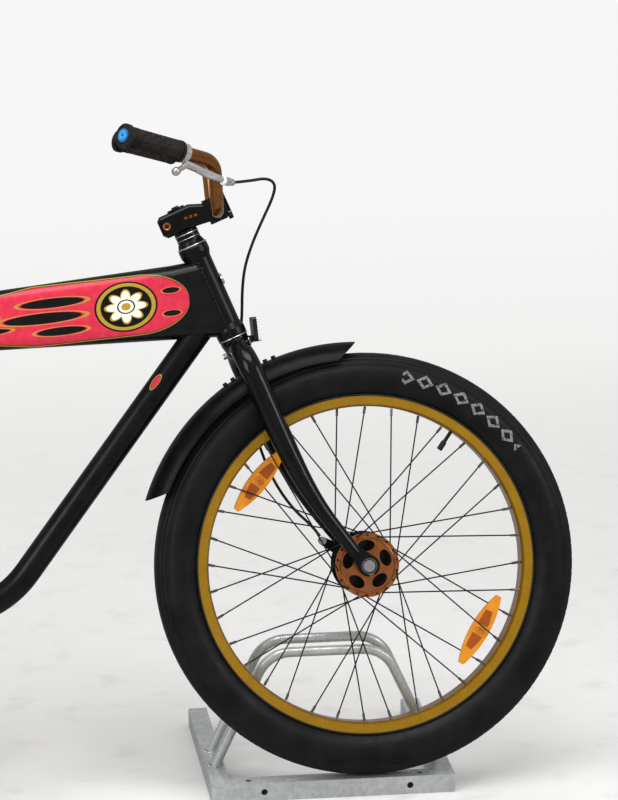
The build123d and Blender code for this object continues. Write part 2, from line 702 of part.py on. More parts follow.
def seatstays():
    """Two stays from the top of the seat tube to the rear axle plates, and the bridge over the fender."""
    bridge_radius = 7.0
    at = on_stay_at_radius(FENDER_RADIUS + SEAT_GAP + bridge_radius)
    stays = side_cylinder(bridge_radius, -at.Y, at.Y, at.X, at.Z)
    for side in (-1, 1):
        stays += bent_tube(seatstay_points(side), 60.0, SEATSTAY_RADIUS)
    return stays - seat_tube_solid() - tank()


def rear_axle():
    end = REAR_DROPOUT_HALF + DROPOUT_THICKNESS + 12
    axle = side_cylinder(REAR_AXLE_DIAMETER / 2, -end, end, -WHEELBASE)
    outside = REAR_DROPOUT_HALF + DROPOUT_THICKNESS
    for side in (-1, 1):
        nut = Pos(-WHEELBASE, side * (outside + 5), 0) * Rot(X=90)
        axle += nut * extrude(RegularPolygon(9, 6), 5, both=True)
    return axle


def sprocket(teeth, pitch_radius):
    """Outline of a toothed wheel for a roller chain."""
    tip = pitch_radius + 3.6
    valley = 4.2
    outline = Circle(tip)
    for i in range(teeth):
        a = 2 * pi * (i + 0.5) / teeth
        outline -= Pos(pitch_radius * cos(a), pitch_radius * sin(a)) * RegularPolygon(valley, 6)
    return outline


def rear_hub():
    """Barrel with two flanges and the chain cog on the right."""
    x = -WHEELBASE
    hub = side_cylinder(REAR_BARREL_RADIUS, -CHAIN_LINE - 6, REAR_DROPOUT_HALF - 8)
    hub += flange_disc(-REAR_FLANGE_HALF, REAR_FLANGE_RADIUS)
    hub += flange_disc(REAR_FLANGE_HALF, REAR_FLANGE_RADIUS)
    half = TOOTH_THICKNESS / 2
    cog = sprocket(COG_TEETH, COG_PITCH_RADIUS)
    hub += side_plate(cog, -CHAIN_LINE - half, -CHAIN_LINE + half)
    hub -= side_cylinder(REAR_AXLE_DIAMETER / 2 + RUNNING_GAP, -90, 90)
    return Pos(x, 0, 0) * hub


def chain():
    """The chain as one loop: two rows of side plates with rollers between them on the straight runs."""
    front = Vector(BB_X, BB_Z)
    rear = Vector(-WHEELBASE, 0)
    half = CHAIN_HEIGHT / 2

    def loop(grow):
        circles = Pos(front.X, front.Y) * Circle(RING_PITCH_RADIUS + grow)
        circles += Pos(rear.X, rear.Y) * Circle(COG_PITCH_RADIUS + grow)
        return make_hull(circles.edges())

    band = loop(half) - loop(-half)
    outer = CHAIN_SLOT / 2 + CHAIN_PLATE
    body = side_plate(band, -CHAIN_LINE - outer, -CHAIN_LINE - CHAIN_SLOT / 2)
    body += side_plate(band, -CHAIN_LINE + CHAIN_SLOT / 2, -CHAIN_LINE + outer)
    between = rear - front
    distance = between.length
    lean = asin((RING_PITCH_RADIUS - COG_PITCH_RADIUS) / distance)
    heading = atan2(between.Y, between.X)
    run = distance * cos(lean)
    for side in (-1, 1):
        normal = heading + side * (pi / 2 - lean)
        start = front + Vector(cos(normal), sin(normal)) * RING_PITCH_RADIUS
        direction = heading - side * lean
        count = int((run - 6 * CHAIN_PITCH) / CHAIN_PITCH)
        margin = (run - count * CHAIN_PITCH) / 2
        for i in range(0, count + 1, 2):
            at = start + Vector(cos(direction), sin(direction)) * (margin + i * CHAIN_PITCH)
            roller = Pos(at.X, -CHAIN_LINE, at.Y) * Rot(X=90)
            body += roller * extrude(RegularPolygon(3.6, 6), CHAIN_SLOT / 2 + 0.2, both=True)
    return body


def crankset():
    """Axle, chainring with five arms cut out, and the two crank arms."""
    half = TOOTH_THICKNESS / 2
    ring = sprocket(RING_TEETH, RING_PITCH_RADIUS)
    window = make_hull((Pos(0, 52) * Circle(13) + Pos(0, 30) * Circle(5)).edges())
    ring -= Sketch() + [Rot(Z=72.0 * i) * window for i in range(5)]
    whole = Pos(BB_X, 0, BB_Z) * side_plate(ring, -CHAIN_LINE - half, -CHAIN_LINE + half)
    reach = CRANK_INNER + CRANK_THICKNESS
    whole += side_cylinder(10, -reach, reach, BB_X, BB_Z)
    whole += side_cylinder(20, -CRANK_INNER, -BB_HALF_WIDTH - 1, BB_X, BB_Z)
    for side in (-1, 1):
        end = BB_Z + side * CRANK_LENGTH
        arm = make_hull((Pos(BB_X, BB_Z) * Circle(17) + Pos(BB_X, end) * Circle(13)).edges())
        arm -= Pos(BB_X, end) * Circle(7 + RUNNING_GAP)
        low, high = CRANK_INNER, CRANK_INNER + CRANK_THICKNESS
        whole += side_plate(arm, low, high) if side > 0 else side_plate(arm, -high, -low)
    return whole


def pedal(side):
    """Platform pedal on its spindle: a frame of four bars round a barrel."""
    z = BB_Z + side * CRANK_LENGTH
    inner = CRANK_INNER + CRANK_THICKNESS + 6
    outer = inner + PEDAL_WIDTH
    frame = Box(PEDAL_LENGTH, PEDAL_WIDTH, PEDAL_THICKNESS)
    frame = fillet(frame.edges().filter_by(Axis.Z), 10)
    for end in (-1, 1):
        frame -= Pos(end * 26, 0, 0) * Box(26, PEDAL_WIDTH - 22, PEDAL_THICKNESS + 2)
    body = Pos(BB_X, side * (inner + outer) / 2, z) * frame
    spindle = (CRANK_INNER + 1, inner + 4) if side > 0 else (-inner - 4, -CRANK_INNER - 1)
    return body + side_cylinder(7, spindle[0], spindle[1], BB_X, z)


def chain_guard():
    """Thin cover outside the upper run of the chain and the top of the chainring."""
    big = Pos(BB_X, BB_Z) * Circle(RING_PITCH_RADIUS + 12)
    small = Pos(-WHEELBASE + 60, 22) * Circle(24)
    cover = make_hull((big + small).edges())
    heading = degrees(atan2(-BB_Z, -WHEELBASE - BB_X))
    below = Pos(BB_X, BB_Z) * Rot(Z=heading) * Pos(250, 300 - GUARD_CUT) * Rectangle(900, 600)
    cover -= below
    y = CHAIN_LINE + CHAIN_SLOT / 2 + CHAIN_PLATE + 3
    guard = side_plate(cover, -y - GUARD_SHEET, -y)
    for ahead in (275.0, 105.0):
        x = ahead - WHEELBASE
        line_z = BB_Z + (x - BB_X) * BB_Z / (WHEELBASE + BB_X)
        guard += Pos(x, -y - GUARD_SHEET / 2, line_z + 14) * Box(18, GUARD_SHEET, 36)
    return guard - chainstay_tube(-1, CHAINSTAY_RADIUS + SEAT_GAP)


def fender_section(sheet_radius):
    """Half-round fender section as a ring-shaped strip seen along the tyre."""
    chord = (FENDER_HALF_WIDTH**2 + FENDER_DEPTH**2) / (2 * FENDER_DEPTH)
    centre = sheet_radius - chord
    strip = Pos(0, centre) * (Circle(chord) - Circle(chord - FENDER_SHEET))
    keep = Pos(0, sheet_radius - FENDER_DEPTH / 2) * Rectangle(4 * chord, FENDER_DEPTH)
    return strip & keep


def fender_arc(centre_x, centre_z, start, end):
    """A fender sheet from one angle to another round its centre, angles from +X towards +Z."""
    plane = Plane(origin=(centre_x, 0, centre_z), x_dir=(0, 1, 0), z_dir=(1, 0, 0))
    axis = Axis((centre_x, 0, centre_z), (0, -1, 0))
    upright = plane * fender_section(FENDER_RADIUS)
    swept = revolve(upright, axis, end - start)
    return swept.rotate(axis, start - 90)


def front_fender():
    """Short fender over the front tyre, its two ends cut to a slanted point."""
    sheet = fender_arc(FENDER_CENTRE_X, FENDER_CENTRE_Z, 80, 166)
    front = Pos(FENDER_CENTRE_X, 0, FENDER_CENTRE_Z) * Rot(Y=-87) * Pos(FENDER_RADIUS, 0, 0)
    sheet -= front * Rot(Y=48) * Pos(0, 0, -50) * Box(160, 120, 100)
    rear = Pos(FENDER_CENTRE_X, 0, FENDER_CENTRE_Z) * Rot(Y=-160) * Pos(FENDER_RADIUS, 0, 0)
    sheet -= rear * Rot(Y=-40) * Pos(0, 0, 50) * Box(160, 120, 100)
    low = CROWN_START - 33
    high = CROWN_START - 5.5 - SEAT_GAP
    strap = STEERING * Pos(0, 0, (low + high) / 2) * Box(12, 14, high - low)
    return sheet + strap


def rear_fender():
    fender = fender_arc(-WHEELBASE, 0, 14, 148)
    angle = radians(128)
    for side in (-1, 1):
        y = side * (REAR_DROPOUT_HALF - 4)
        rim_point = Vector(-WHEELBASE + 352 * cos(angle), side * (FENDER_HALF_WIDTH - 1), 352 * sin(angle))
        low = Vector(-WHEELBASE - 22, y, 6)
        fender += rod(low, rim_point, 2.5)
        eye = side_cylinder(8, y - side * 2, side * REAR_DROPOUT_HALF, -WHEELBASE - 22, 6)
        fender += eye
    return fender


def saddle():
    """Wide sprung-looking pad as one plain closed body."""
    x0 = seat_tube_point(SADDLE_HEIGHT).X
    sections = []
    for dx, width, height in (
        (-SADDLE_LENGTH * 0.50, 120, 34),
        (-SADDLE_LENGTH * 0.36, SADDLE_WIDTH - 10, 58),
        (-SADDLE_LENGTH * 0.16, SADDLE_WIDTH, 60),
        (SADDLE_LENGTH * 0.10, 110, 48),
        (SADDLE_LENGTH * 0.34, 60, 38),
        (SADDLE_LENGTH * 0.50, 36, 24),
    ):
        plane = Plane(origin=(x0 + dx, 0, SADDLE_HEIGHT - height / 2), x_dir=(0, 1, 0), z_dir=(1, 0, 0))
        sections.append(plane * RectangleRounded(width, height, height * 0.42))
    return loft(sections)


def saddle_rails(radius):
    """Two rails under the saddle, turned down at the back to the feet of its springs."""
    x0 = seat_tube_point(SADDLE_HEIGHT).X
    rails = []
    for side in (-1, 1):
        points = [
            Vector(x0 + 100, side * 12, SADDLE_HEIGHT - 30),
            Vector(x0 + 60, side * 20, SADDLE_HEIGHT - 70),
            Vector(x0 - 30, side * 24, SADDLE_HEIGHT - 70),
            Vector(x0 - 78, side * 56, SADDLE_HEIGHT - 108),
        ]
        rails.append(bent_tube(points, [18.0, 25.0], radius))
    return rails


def saddle_frame():
    """The saddle's rails and its two rear springs."""
    x0 = seat_tube_point(SADDLE_HEIGHT).X
    pad = saddle()
    pieces = []
    for side, rail in zip((-1, 1), saddle_rails(3.5)):
        foot = Pos(x0 - 78, side * 56, 0)
        low, high = SADDLE_HEIGHT - 112, SADDLE_HEIGHT - 50
        spring = foot * Pos(0, 0, low) * Cylinder(
            8, high - low, align=(Align.CENTER, Align.CENTER, Align.MIN)
        )
        for i in range(6):
            ring = Cylinder(14, 4, align=(Align.CENTER, Align.CENTER, Align.MIN))
            spring += foot * Pos(0, 0, low + 8 * i) * ring
        pieces.append(rail + spring - pad)
    return Compound(children=pieces)


def seat_post():
    """Post in the seat tube, its bare length above the collar, and the clamp on the saddle's rails."""
    along = (seat_tube_point(SEAT_TUBE_TOP) - seat_tube_point(BB_Z)).normalized()
    mouth = seat_tube_point(SEAT_TUBE_TOP)
    shoulder = mouth + along * SEAT_GAP
    top = seat_tube_point(SADDLE_HEIGHT - 70)
    post = rod(mouth - along * 140, shoulder, SEAT_POST_RADIUS - POST_CLEARANCE)
    post += rod(shoulder, top, SEAT_POST_RADIUS)
    post += Pos(top.X, 0, SADDLE_HEIGHT - 72) * Box(40, 62, 22)
    for rail in saddle_rails(3.5):
        post -= rail
    return post - saddle()


def stand_frame():
    """The stand's hinge point and axis, its directions down and stowed, and its length to the floor."""
    hinge = Vector(STAND_X, STAND_Y, STAND_Z)
    down = Vector(0.04, sin(radians(STAND_SPLAY)), -cos(radians(STAND_SPLAY))).normalized()
    stowed = Vector(-1.0, 0.05, 0.03).normalized()
    axis = down.cross(stowed).normalized()
    world_down = Vector(
        -sin(radians(PITCH)) * cos(radians(LEAN)), sin(radians(LEAN)), -cos(radians(LEAN)) * cos(radians(PITCH))
    )
    start = hinge + axis * (STAND_KNUCKLE / 2)
    height = (LEANING * Pos(*start)).position.Z
    length = (height - STAND_RADIUS - 2) / down.dot(world_down)
    return hinge, axis, down, length


def side_stand():
    """Side stand: a knuckle that turns on its pin, the leg and a round foot."""
    hinge, axis, down, length = stand_frame()
    middle = hinge + axis * (STAND_KNUCKLE / 2)
    foot = middle + down * length
    leg = rod(middle, foot, STAND_RADIUS)
    leg += rod(hinge + axis * SEAT_GAP, hinge + axis * STAND_KNUCKLE, 11)
    leg += Pos(*foot) * Sphere(STAND_RADIUS + 2)
    return leg - rod(hinge - axis, hinge + axis * (STAND_KNUCKLE + 1), STAND_PIN_RADIUS + RUNNING_GAP)


def stand_bracket():
    """Lug under the left stay with the stand's pin and its head."""
    hinge, axis, _, _ = stand_frame()
    lug = rod(hinge - axis * 12, hinge, 10)
    lug += Pos(STAND_X, STAND_Y - 14, STAND_Z + 15) * Box(18, 9, 34)
    lug += rod(hinge - axis, hinge + axis * (STAND_KNUCKLE + 1), STAND_PIN_RADIUS)
    lug += rod(hinge + axis * (STAND_KNUCKLE + SEAT_GAP), hinge + axis * (STAND_KNUCKLE + 4), 8)
    return lug


def channel(length):
    """Folded steel channel, open underneath, its length along X and its middle at the origin."""
    outer = Box(length, CHANNEL_WIDTH, CHANNEL_HEIGHT, align=(Align.CENTER, Align.CENTER, Align.MIN))
    inner = Box(
        length - 2 * CHANNEL_SHEET,
        CHANNEL_WIDTH - 2 * CHANNEL_SHEET,
        CHANNEL_HEIGHT - CHANNEL_SHEET,
        align=(Align.CENTER, Align.CENTER, Align.MIN),
    )
    return outer - inner


def rack_base():
    """U-shaped base: a front channel with a side channel at each end."""
    front_y = RACK_FRONT + CHANNEL_WIDTH / 2
    side_x = RACK_LENGTH / 2 - CHANNEL_WIDTH / 2
    base = Pos(0, front_y, 0) * channel(RACK_LENGTH)
    side_length = RACK_DEPTH - CHANNEL_WIDTH
    side_y = RACK_FRONT + CHANNEL_WIDTH + side_length / 2
    for side in (-1, 1):
        base += Pos(side * side_x, side_y, 0) * Rot(Z=90) * channel(side_length)
    hole = Cylinder(RACK_HOLE_RADIUS, 3 * CHANNEL_HEIGHT)
    for x in (-RACK_LENGTH / 2 + 64, RACK_LENGTH / 2 - 58):
        base -= Pos(x, front_y, 0) * hole
    for x in (-RACK_LENGTH / 2 + 89, RACK_LENGTH / 2 - 77):
        base -= Pos(x, RACK_FRONT, CHANNEL_HEIGHT / 2) * Rot(X=90) * Cylinder(RACK_HOLE_RADIUS, 10)
    return base


def hoop_offset():
    """How far behind the tyre's contact line the near hoop stands, so that the leaning tyre meets it."""
    foot_left = -RACK_LENGTH / 2 + CHANNEL_WIDTH / 2
    foot_right = -foot_left
    needed = 0.0
    steps = 200
    for i in range(steps):
        z = CHANNEL_HEIGHT + (HOOP_TOP - CHANNEL_HEIGHT) * i / steps
        for foot, inward in ((foot_left, 1), (foot_right, -1)):
            x = foot + inward * (z - CHANNEL_HEIGHT) * tan(radians(HOOP_LEG_ANGLE)) - AXLE_X
            up = (AXLE_Z - z) / cos(radians(LEAN))
            from_ring = abs(hypot(x, up) - RING_RADIUS_CENTRE)
            if from_ring >= TYRE_SECTION:
                continue
            half = sqrt(TYRE_SECTION**2 - from_ring**2) / cos(radians(LEAN))
            middle = RING_RADIUS_CENTRE * sin(radians(LEAN)) - (AXLE_Z - z) * tan(radians(LEAN))
            needed = max(needed, middle + half)
    return needed + HOOP_RADIUS + HOOP_CLEARANCE


def rack_hoops():
    """Two bent tube hoops that hold the wheel, standing on the side channels."""
    foot = RACK_LENGTH / 2 - CHANNEL_WIDTH / 2
    top_half = foot - (HOOP_TOP - CHANNEL_HEIGHT) * tan(radians(HOOP_LEG_ANGLE))
    hoops = []
    for i in range(2):
        y = CONTACT_Y + hoop_offset() + i * HOOP_SPACING
        points = [
            (-foot, y, CHANNEL_HEIGHT),
            (-top_half, y, HOOP_TOP),
            (top_half, y, HOOP_TOP),
            (foot, y, CHANNEL_HEIGHT),
        ]
        path = FilletPolyline(*points, radius=HOOP_BEND)
        profile = Plane(origin=path @ 0, z_dir=path % 0) * Circle(HOOP_RADIUS)
        hoop = sweep(profile, path)
        floor = Pos(0, y, CHANNEL_HEIGHT - 20) * Box(RACK_LENGTH + 60, 60, 40)
        hoops.append(hoop - floor)
    return Compound(children=hoops)


def wheel_reflector(angle, radius, length, width):
    """Lens-shaped reflector between the two layers of spokes."""
    half = length / 2
    bulge = width / 2
    arc_radius = (half**2 + bulge**2) / (2 * bulge)
    lens = Pos(0, arc_radius - bulge) * Circle(arc_radius) & Pos(0, bulge - arc_radius) * Circle(arc_radius)
    blunt = lens & Rectangle(length * 0.86, width)
    outline = Rot(Z=angle) * Pos(radius, 0) * Rot(Z=90) * blunt
    return side_plate(outline, -4.4, 4.2)


def valve():
    a = radians(53.0)
    outward = Vector(cos(a), 0, sin(a))
    stem_part = rod(outward * (RIM_INNER_RADIUS - 22), outward * (RIM_INNER_RADIUS - 0.2), 3.2)
    cap = rod(outward * (RIM_INNER_RADIUS - 36), outward * (RIM_INNER_RADIUS - 20), 4.8)
    return stem_part + cap


CABLE_RADIUS = 2.5
CABLE_LIFT = 2.0


def cable_points():
    """Route from the lever's barrel, round in front of the head tube and down behind the left blade."""
    head = HEAD_TUBE_START
    blade = CROWN_START
    start = (COCKPIT * Pos(*LEVER_BARREL_END)).position
    knob_y = DRUM_FACE + BRAKE_PLATE_THICKNESS + 10
    return [
        start + Vector(1.0, 0.6, 0),
        steering_point(122, -104, head + 228),
        steering_point(151, -84, head + 221),
        steering_point(163, -68, head + 206),
        steering_point(152, -50, head + 187),
        steering_point(124, -27, head + 160),
        steering_point(95, -4, head + 131),
        steering_point(68, 19, head + 98),
        steering_point(49, 37, head + 61),
        steering_point(34, 58, head + 22),
        steering_point(14, 79, head - 18),
        steering_point(-4, 90, blade - 42),
        steering_point(-15, 89, blade - 98),
        steering_point(-27, 84, blade * 0.60),
        steering_point(-31, 75, blade * 0.44),
        steering_point(-22, 66, blade * 0.29),
        steering_point(-1, 59, BRAKE_ARM_UP + 24),
        steering_point(BRAKE_ARM_FORWARD, knob_y, BRAKE_ARM_UP + BRAKE_KNOB_RADIUS + CABLE_LIFT),
    ]


def cable():
    """Brake cable, held from the lever to the brake's arm."""
    points = cable_points()
    radii = []
    for before, here, after in zip(points, points[1:], points[2:]):
        turn = radians((here - before).get_angle(after - here))
        shorter = min((here - before).length, (after - here).length)
        radii.append(0.45 * shorter / tan(turn / 2))
    print("cable radii", [round(r) for r in radii])
    path = FilletPolyline(*points, radius=radii)
    profile = Plane(origin=path @ 0, z_dir=path % 0) * Circle(CABLE_RADIUS)
    tube = sweep(profile, path)
    ratio = tube.volume / (path.length * pi * CABLE_RADIUS**2)
    print("cable length", round(path.length), "volume ratio", round(ratio, 3))
    return tube


def front_reflector():
    """White front reflector on its bracket ahead of the crown."""
    face = Box(12, 46, 41)
    face = fillet(face.edges().filter_by(Axis.X), 4)
    arm = Pos(-9, 0, -14) * Box(22, 12, 9)
    collar = Pos(0, 0, CROWN_START) * Cylinder(
        COLLAR_RADIUS + SEAT_GAP, 2 * CROWN_HEIGHT, align=(Align.CENTER, Align.CENTER, Align.MIN)
    )
    housing = Pos(40, 0, CROWN_START + 27) * Rot(Y=18) * (face + arm)
    return STEERING * (housing - collar)


def main():
    save(rack_base(), "rack_base")
    save(rack_hoops(), "rack_hoops")
    place(fork(), "fork")
    place(headset_spacers(), "headset_spacers")
    place(stem(), "stem")
    place(stem_faceplate(), "stem_faceplate")
    place(handlebar(), "handlebar")
    for side, label in ((-1, "right"), (1, "left")):
        place(grip(side), "grip_" + label)
    place(Compound(children=[grip_plug(-1), grip_plug(1)]), "grip_plugs")
    place(brake_lever(), "brake_lever")
    place(cable(), "brake_cable")
    place(drum_brake(), "drum_brake")
    place(front_axle(), "front_axle")
    place(front_fender(), "front_fender")
    place(front_reflector(), "front_reflector")
    place(tyre(), "front_tyre")
    place(rim(), "front_rim")
    place(spokes(FRONT_RIGHT_FLANGE, FRONT_LEFT_FLANGE, FRONT_FLANGE_RADIUS), "front_spokes")
    place(front_hub(), "front_hub")
    reach = RIM_INNER_RADIUS - 38
    reflectors = [wheel_reflector(138.4, reach, 146, 32), wheel_reflector(-33.4, reach, 152, 32)]
    place(Compound(children=reflectors), "front_wheel_reflectors")
    place(valve(), "front_valve")
    rear = Pos(-WHEELBASE, 0, 0)
    place(rear * tyre(), "rear_tyre")
    place(rear * rim(), "rear_rim")
    place(rear * spokes(REAR_FLANGE_HALF, REAR_FLANGE_HALF, REAR_FLANGE_RADIUS), "rear_spokes")
    place(rear_hub(), "rear_hub")
    place(rear_axle(), "rear_axle")
    place(head_tube(), "head_tube")
    place(tank(), "tank")
    place(down_tube(), "down_tube")
    place(seat_tube(), "seat_tube")
    place(bottom_bracket(), "bottom_bracket")
    place(chainstays(), "chainstays")
    place(seatstays(), "seatstays")
    place(seat_post(), "seat_post")
    place(saddle(), "saddle")
    place(saddle_frame(), "saddle_frame")
    place(rear_fender(), "rear_fender")
    place(chain(), "chain")
    place(chain_guard(), "chain_guard")
    place(crankset(), "crankset")
    for side, label in ((-1, "right"), (1, "left")):
        place(pedal(side), "pedal_" + label)
    place(side_stand(), "side_stand")


main()
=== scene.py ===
import math

import bmesh
import bpy
from mathutils import Matrix, Vector


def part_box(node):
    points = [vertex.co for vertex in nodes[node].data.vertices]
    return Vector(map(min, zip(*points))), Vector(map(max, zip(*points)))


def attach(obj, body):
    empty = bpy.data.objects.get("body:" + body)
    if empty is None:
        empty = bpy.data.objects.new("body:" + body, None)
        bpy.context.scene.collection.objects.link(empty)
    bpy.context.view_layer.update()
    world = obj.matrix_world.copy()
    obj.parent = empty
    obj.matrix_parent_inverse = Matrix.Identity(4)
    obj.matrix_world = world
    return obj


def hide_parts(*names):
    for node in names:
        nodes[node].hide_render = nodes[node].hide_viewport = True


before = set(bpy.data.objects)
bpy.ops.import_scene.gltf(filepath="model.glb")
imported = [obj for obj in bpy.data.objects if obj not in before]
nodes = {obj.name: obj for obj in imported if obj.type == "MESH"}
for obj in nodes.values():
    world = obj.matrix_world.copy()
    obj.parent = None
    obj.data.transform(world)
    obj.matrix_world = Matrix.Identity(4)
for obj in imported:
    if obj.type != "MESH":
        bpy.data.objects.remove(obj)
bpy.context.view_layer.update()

# The bicycle's own upright frame, leaned into the rack's frame. Metres.
LEAN = math.radians(13.0)
WHEELBASE = 1.165
CONTACT_X = 0.065
CONTACT_Y = 0.026
AXLE_RISE = 0.0323
RING_RADIUS = 0.3175
TYRE_SECTION = 0.038
AXLE_Y = CONTACT_Y + RING_RADIUS * math.sin(LEAN)
AXLE_Z = AXLE_RISE + RING_RADIUS * math.cos(LEAN) + TYRE_SECTION
PITCH = math.asin(AXLE_RISE / (WHEELBASE * math.cos(LEAN)))
UPRIGHT = Matrix.Translation((CONTACT_X, AXLE_Y, AXLE_Z))
BIKE = UPRIGHT @ Matrix.Rotation(-LEAN, 4, "X") @ Matrix.Rotation(-PITCH, 4, "Y")
REAR = BIKE @ Matrix.Translation((-WHEELBASE, 0, 0))

# The frame of the steering axis, and that of the handlebar, which is turned a little about it
RAKE = math.radians(20.9)
FORK_OFFSET = 0.046
BAR_TURN = math.radians(4.0)
STEER_FOOT = FORK_OFFSET / math.cos(RAKE)
STEERING = BIKE @ Matrix.Translation((-STEER_FOOT, 0, 0)) @ Matrix.Rotation(-RAKE, 4, "Y")
COCKPIT = STEERING @ Matrix.Rotation(-BAR_TURN, 4, "Z")

# Places along the steering axis
CROWN = 0.392
HEAD_START = 0.4225
HEAD_TOP = 0.5895
STEM_MIDDLE = 0.6363
CLAMP_MIDDLE = STEM_MIDDLE - 0.0065

# Places of the CAD parts that carry trim or change colour
STEM_REACH = 0.062
STEM_SIDE = 0.0178
NIPPLE_START = 0.2535
REFLECTOR_RADIUS = 0.228
REFLECTOR_ANGLES = (138.4, -33.4)
HUB_FACE = 0.0338
HUB_INSIDE = -0.0310
WASHER_OUT = 0.058
FENDER_CENTRE = Vector((-0.014, 0, 0.003))
FENDER_OUT = 0.372
AXLE_END = 0.0681
KNOB = (0.001, 0, 0.042)
KNOB_OUT = 0.057
KNOB_IN = 0.042
CRANK_AHEAD_OF_REAR = 0.450
CRANK_FACE = 0.0748
CRANK_DROP = 0.060


class Graph:
    """A material, with short names for the shader nodes used below."""

    def __init__(self, name):
        self.material = bpy.data.materials.new(name)
        self.material.use_nodes = True
        self.tree = self.material.node_tree
        self.shader = self.tree.nodes["Principled BSDF"]

    def node(self, kind):
        return self.tree.nodes.new("ShaderNode" + kind)

    def put(self, socket, value):
        if isinstance(value, bpy.types.NodeSocket):
            self.tree.links.new(value, socket)
        elif value is not None:
            socket.default_value = value

    def give(self, name, value):
        """Sets an input of the surface shader, or links it."""
        self.put(self.shader.inputs[name], value)

    def math(self, operation, a, b=None, c=None):
        node = self.node("Math")
        node.operation = operation
        for socket, value in zip(node.inputs, (a, b, c)):
            self.put(socket, value)
        return node.outputs[0]

    def plus(self, a, b):
        return self.math("ADD", a, b)

    def minus(self, a, b):
        return self.math("SUBTRACT", a, b)

    def times(self, a, b):
        return self.math("MULTIPLY", a, b)

    def over(self, a, b):
        return self.math("DIVIDE", a, b)

    def lesser(self, a, b):
        return self.math("MINIMUM", a, b)

    def greater(self, a, b):
        return self.math("MAXIMUM", a, b)

    def magnitude(self, a):
        return self.math("ABSOLUTE", a)

    def length(self, u, v):
        return self.math("SQRT", self.plus(self.times(u, u), self.times(v, v)))

    def position(self):
        return self.node("TexCoord").outputs["Object"]

    def local(self, matrix):
        """The position along the three axes of a placed frame."""
        shift = self.node("VectorMath")
        shift.operation = "SUBTRACT"
        self.put(shift.inputs[0], self.position())
        shift.inputs[1].default_value = matrix.translation
        found = []
        for axis in ((1, 0, 0), (0, 1, 0), (0, 0, 1)):
            dot = self.node("VectorMath")
            dot.operation = "DOT_PRODUCT"
            self.put(dot.inputs[0], shift.outputs[0])
            dot.inputs[1].default_value = matrix.to_3x3() @ Vector(axis)
            found.append(dot.outputs["Value"])
        return found

    def polar(self, matrix):
        """Radius from a wheel's axle, and angle in degrees from forwards towards up."""
        x, _, z = self.local(matrix)
        return self.length(x, z), self.times(self.math("ARCTAN2", z, x), 180.0 / math.pi)

    def noise(self, scale, detail=4.0):
        node = self.node("TexNoise")
        node.inputs["Scale"].default_value = scale
        node.inputs["Detail"].default_value = detail
        self.put(node.inputs["Vector"], self.position())
        return node.outputs["Fac"]

    def cells(self, scale):
        """The outputs of a pattern of small cells."""
        node = self.node("TexVoronoi")
        node.inputs["Scale"].default_value = scale
        self.put(node.inputs["Vector"], self.position())
        return node.outputs

    def prisms(self, u, v, scale=900.0):
        """Crossed ridges, like those moulded into a reflector."""
        first = self.magnitude(self.math("SINE", self.times(self.plus(u, v), scale)))
        second = self.magnitude(self.math("SINE", self.times(self.minus(u, v), scale)))
        return self.times(first, second)

    def spread(self, value, low, high, to_low, to_high):
        """Takes one range to another, and goes no further than its ends."""
        node = self.node("MapRange")
        for socket, v in zip(node.inputs, (value, low, high, to_low, to_high)):
            self.put(socket, v)
        return node.outputs[0]

    def rising(self, value, low, high):
        return self.spread(value, low, high, 0.0, 1.0)

    def falling(self, value, low, high):
        return self.spread(value, low, high, 1.0, 0.0)

    def between(self, value, low, high, soft):
        """1 inside a band and 0 outside, with soft edges."""
        rise = self.rising(value, low - soft, low + soft)
        return self.times(rise, self.falling(value, high - soft, high + soft))

    def tone(self, scale, detail=4.0, half=0.15):
        """Slow patches from 0 to 1."""
        return self.rising(self.noise(scale, detail), 0.5 - half, 0.5 + half)

    def mix(self, factor, a, b):
        node = self.node("Mix")
        node.data_type = "RGBA"
        self.put(node.inputs[0], factor)
        self.put(node.inputs[6], a)
        self.put(node.inputs[7], b)
        return node.outputs[2]

    def rough(self, scale, smoothest, roughest):
        """Roughness that changes from place to place."""
        self.give("Roughness", self.spread(self.noise(scale), 0.3, 0.7, smoothest, roughest))

    def bump(self, height, strength, distance=0.001):
        node = self.node("Bump")
        node.inputs["Strength"].default_value = strength
        node.inputs["Distance"].default_value = distance
        self.put(node.inputs["Height"], height)
        self.give("Normal", node.outputs[0])

    def grain(self, strength):
        self.bump(self.noise(900.0, 2.0), strength)


def rgb(*c):
    return (*c, 1.0)


def surface(name, dark, light, rough, metal=0.0, grain=0.02, coat=0.0, shine=0.5):
    """Paint, plastic or metal with a slow change of tone, uneven gloss and a fine grain."""
    g = Graph(name)
    g.give("Base Color", g.mix(g.tone(30.0), rgb(*dark), rgb(*light)))
    g.rough(90.0, *rough)
    g.grain(grain)
    g.give("Metallic", metal)
    g.give("Coat Weight", coat)
    g.give("Coat Roughness", 0.08)
    g.give("Specular IOR Level", shine)
    return g.material


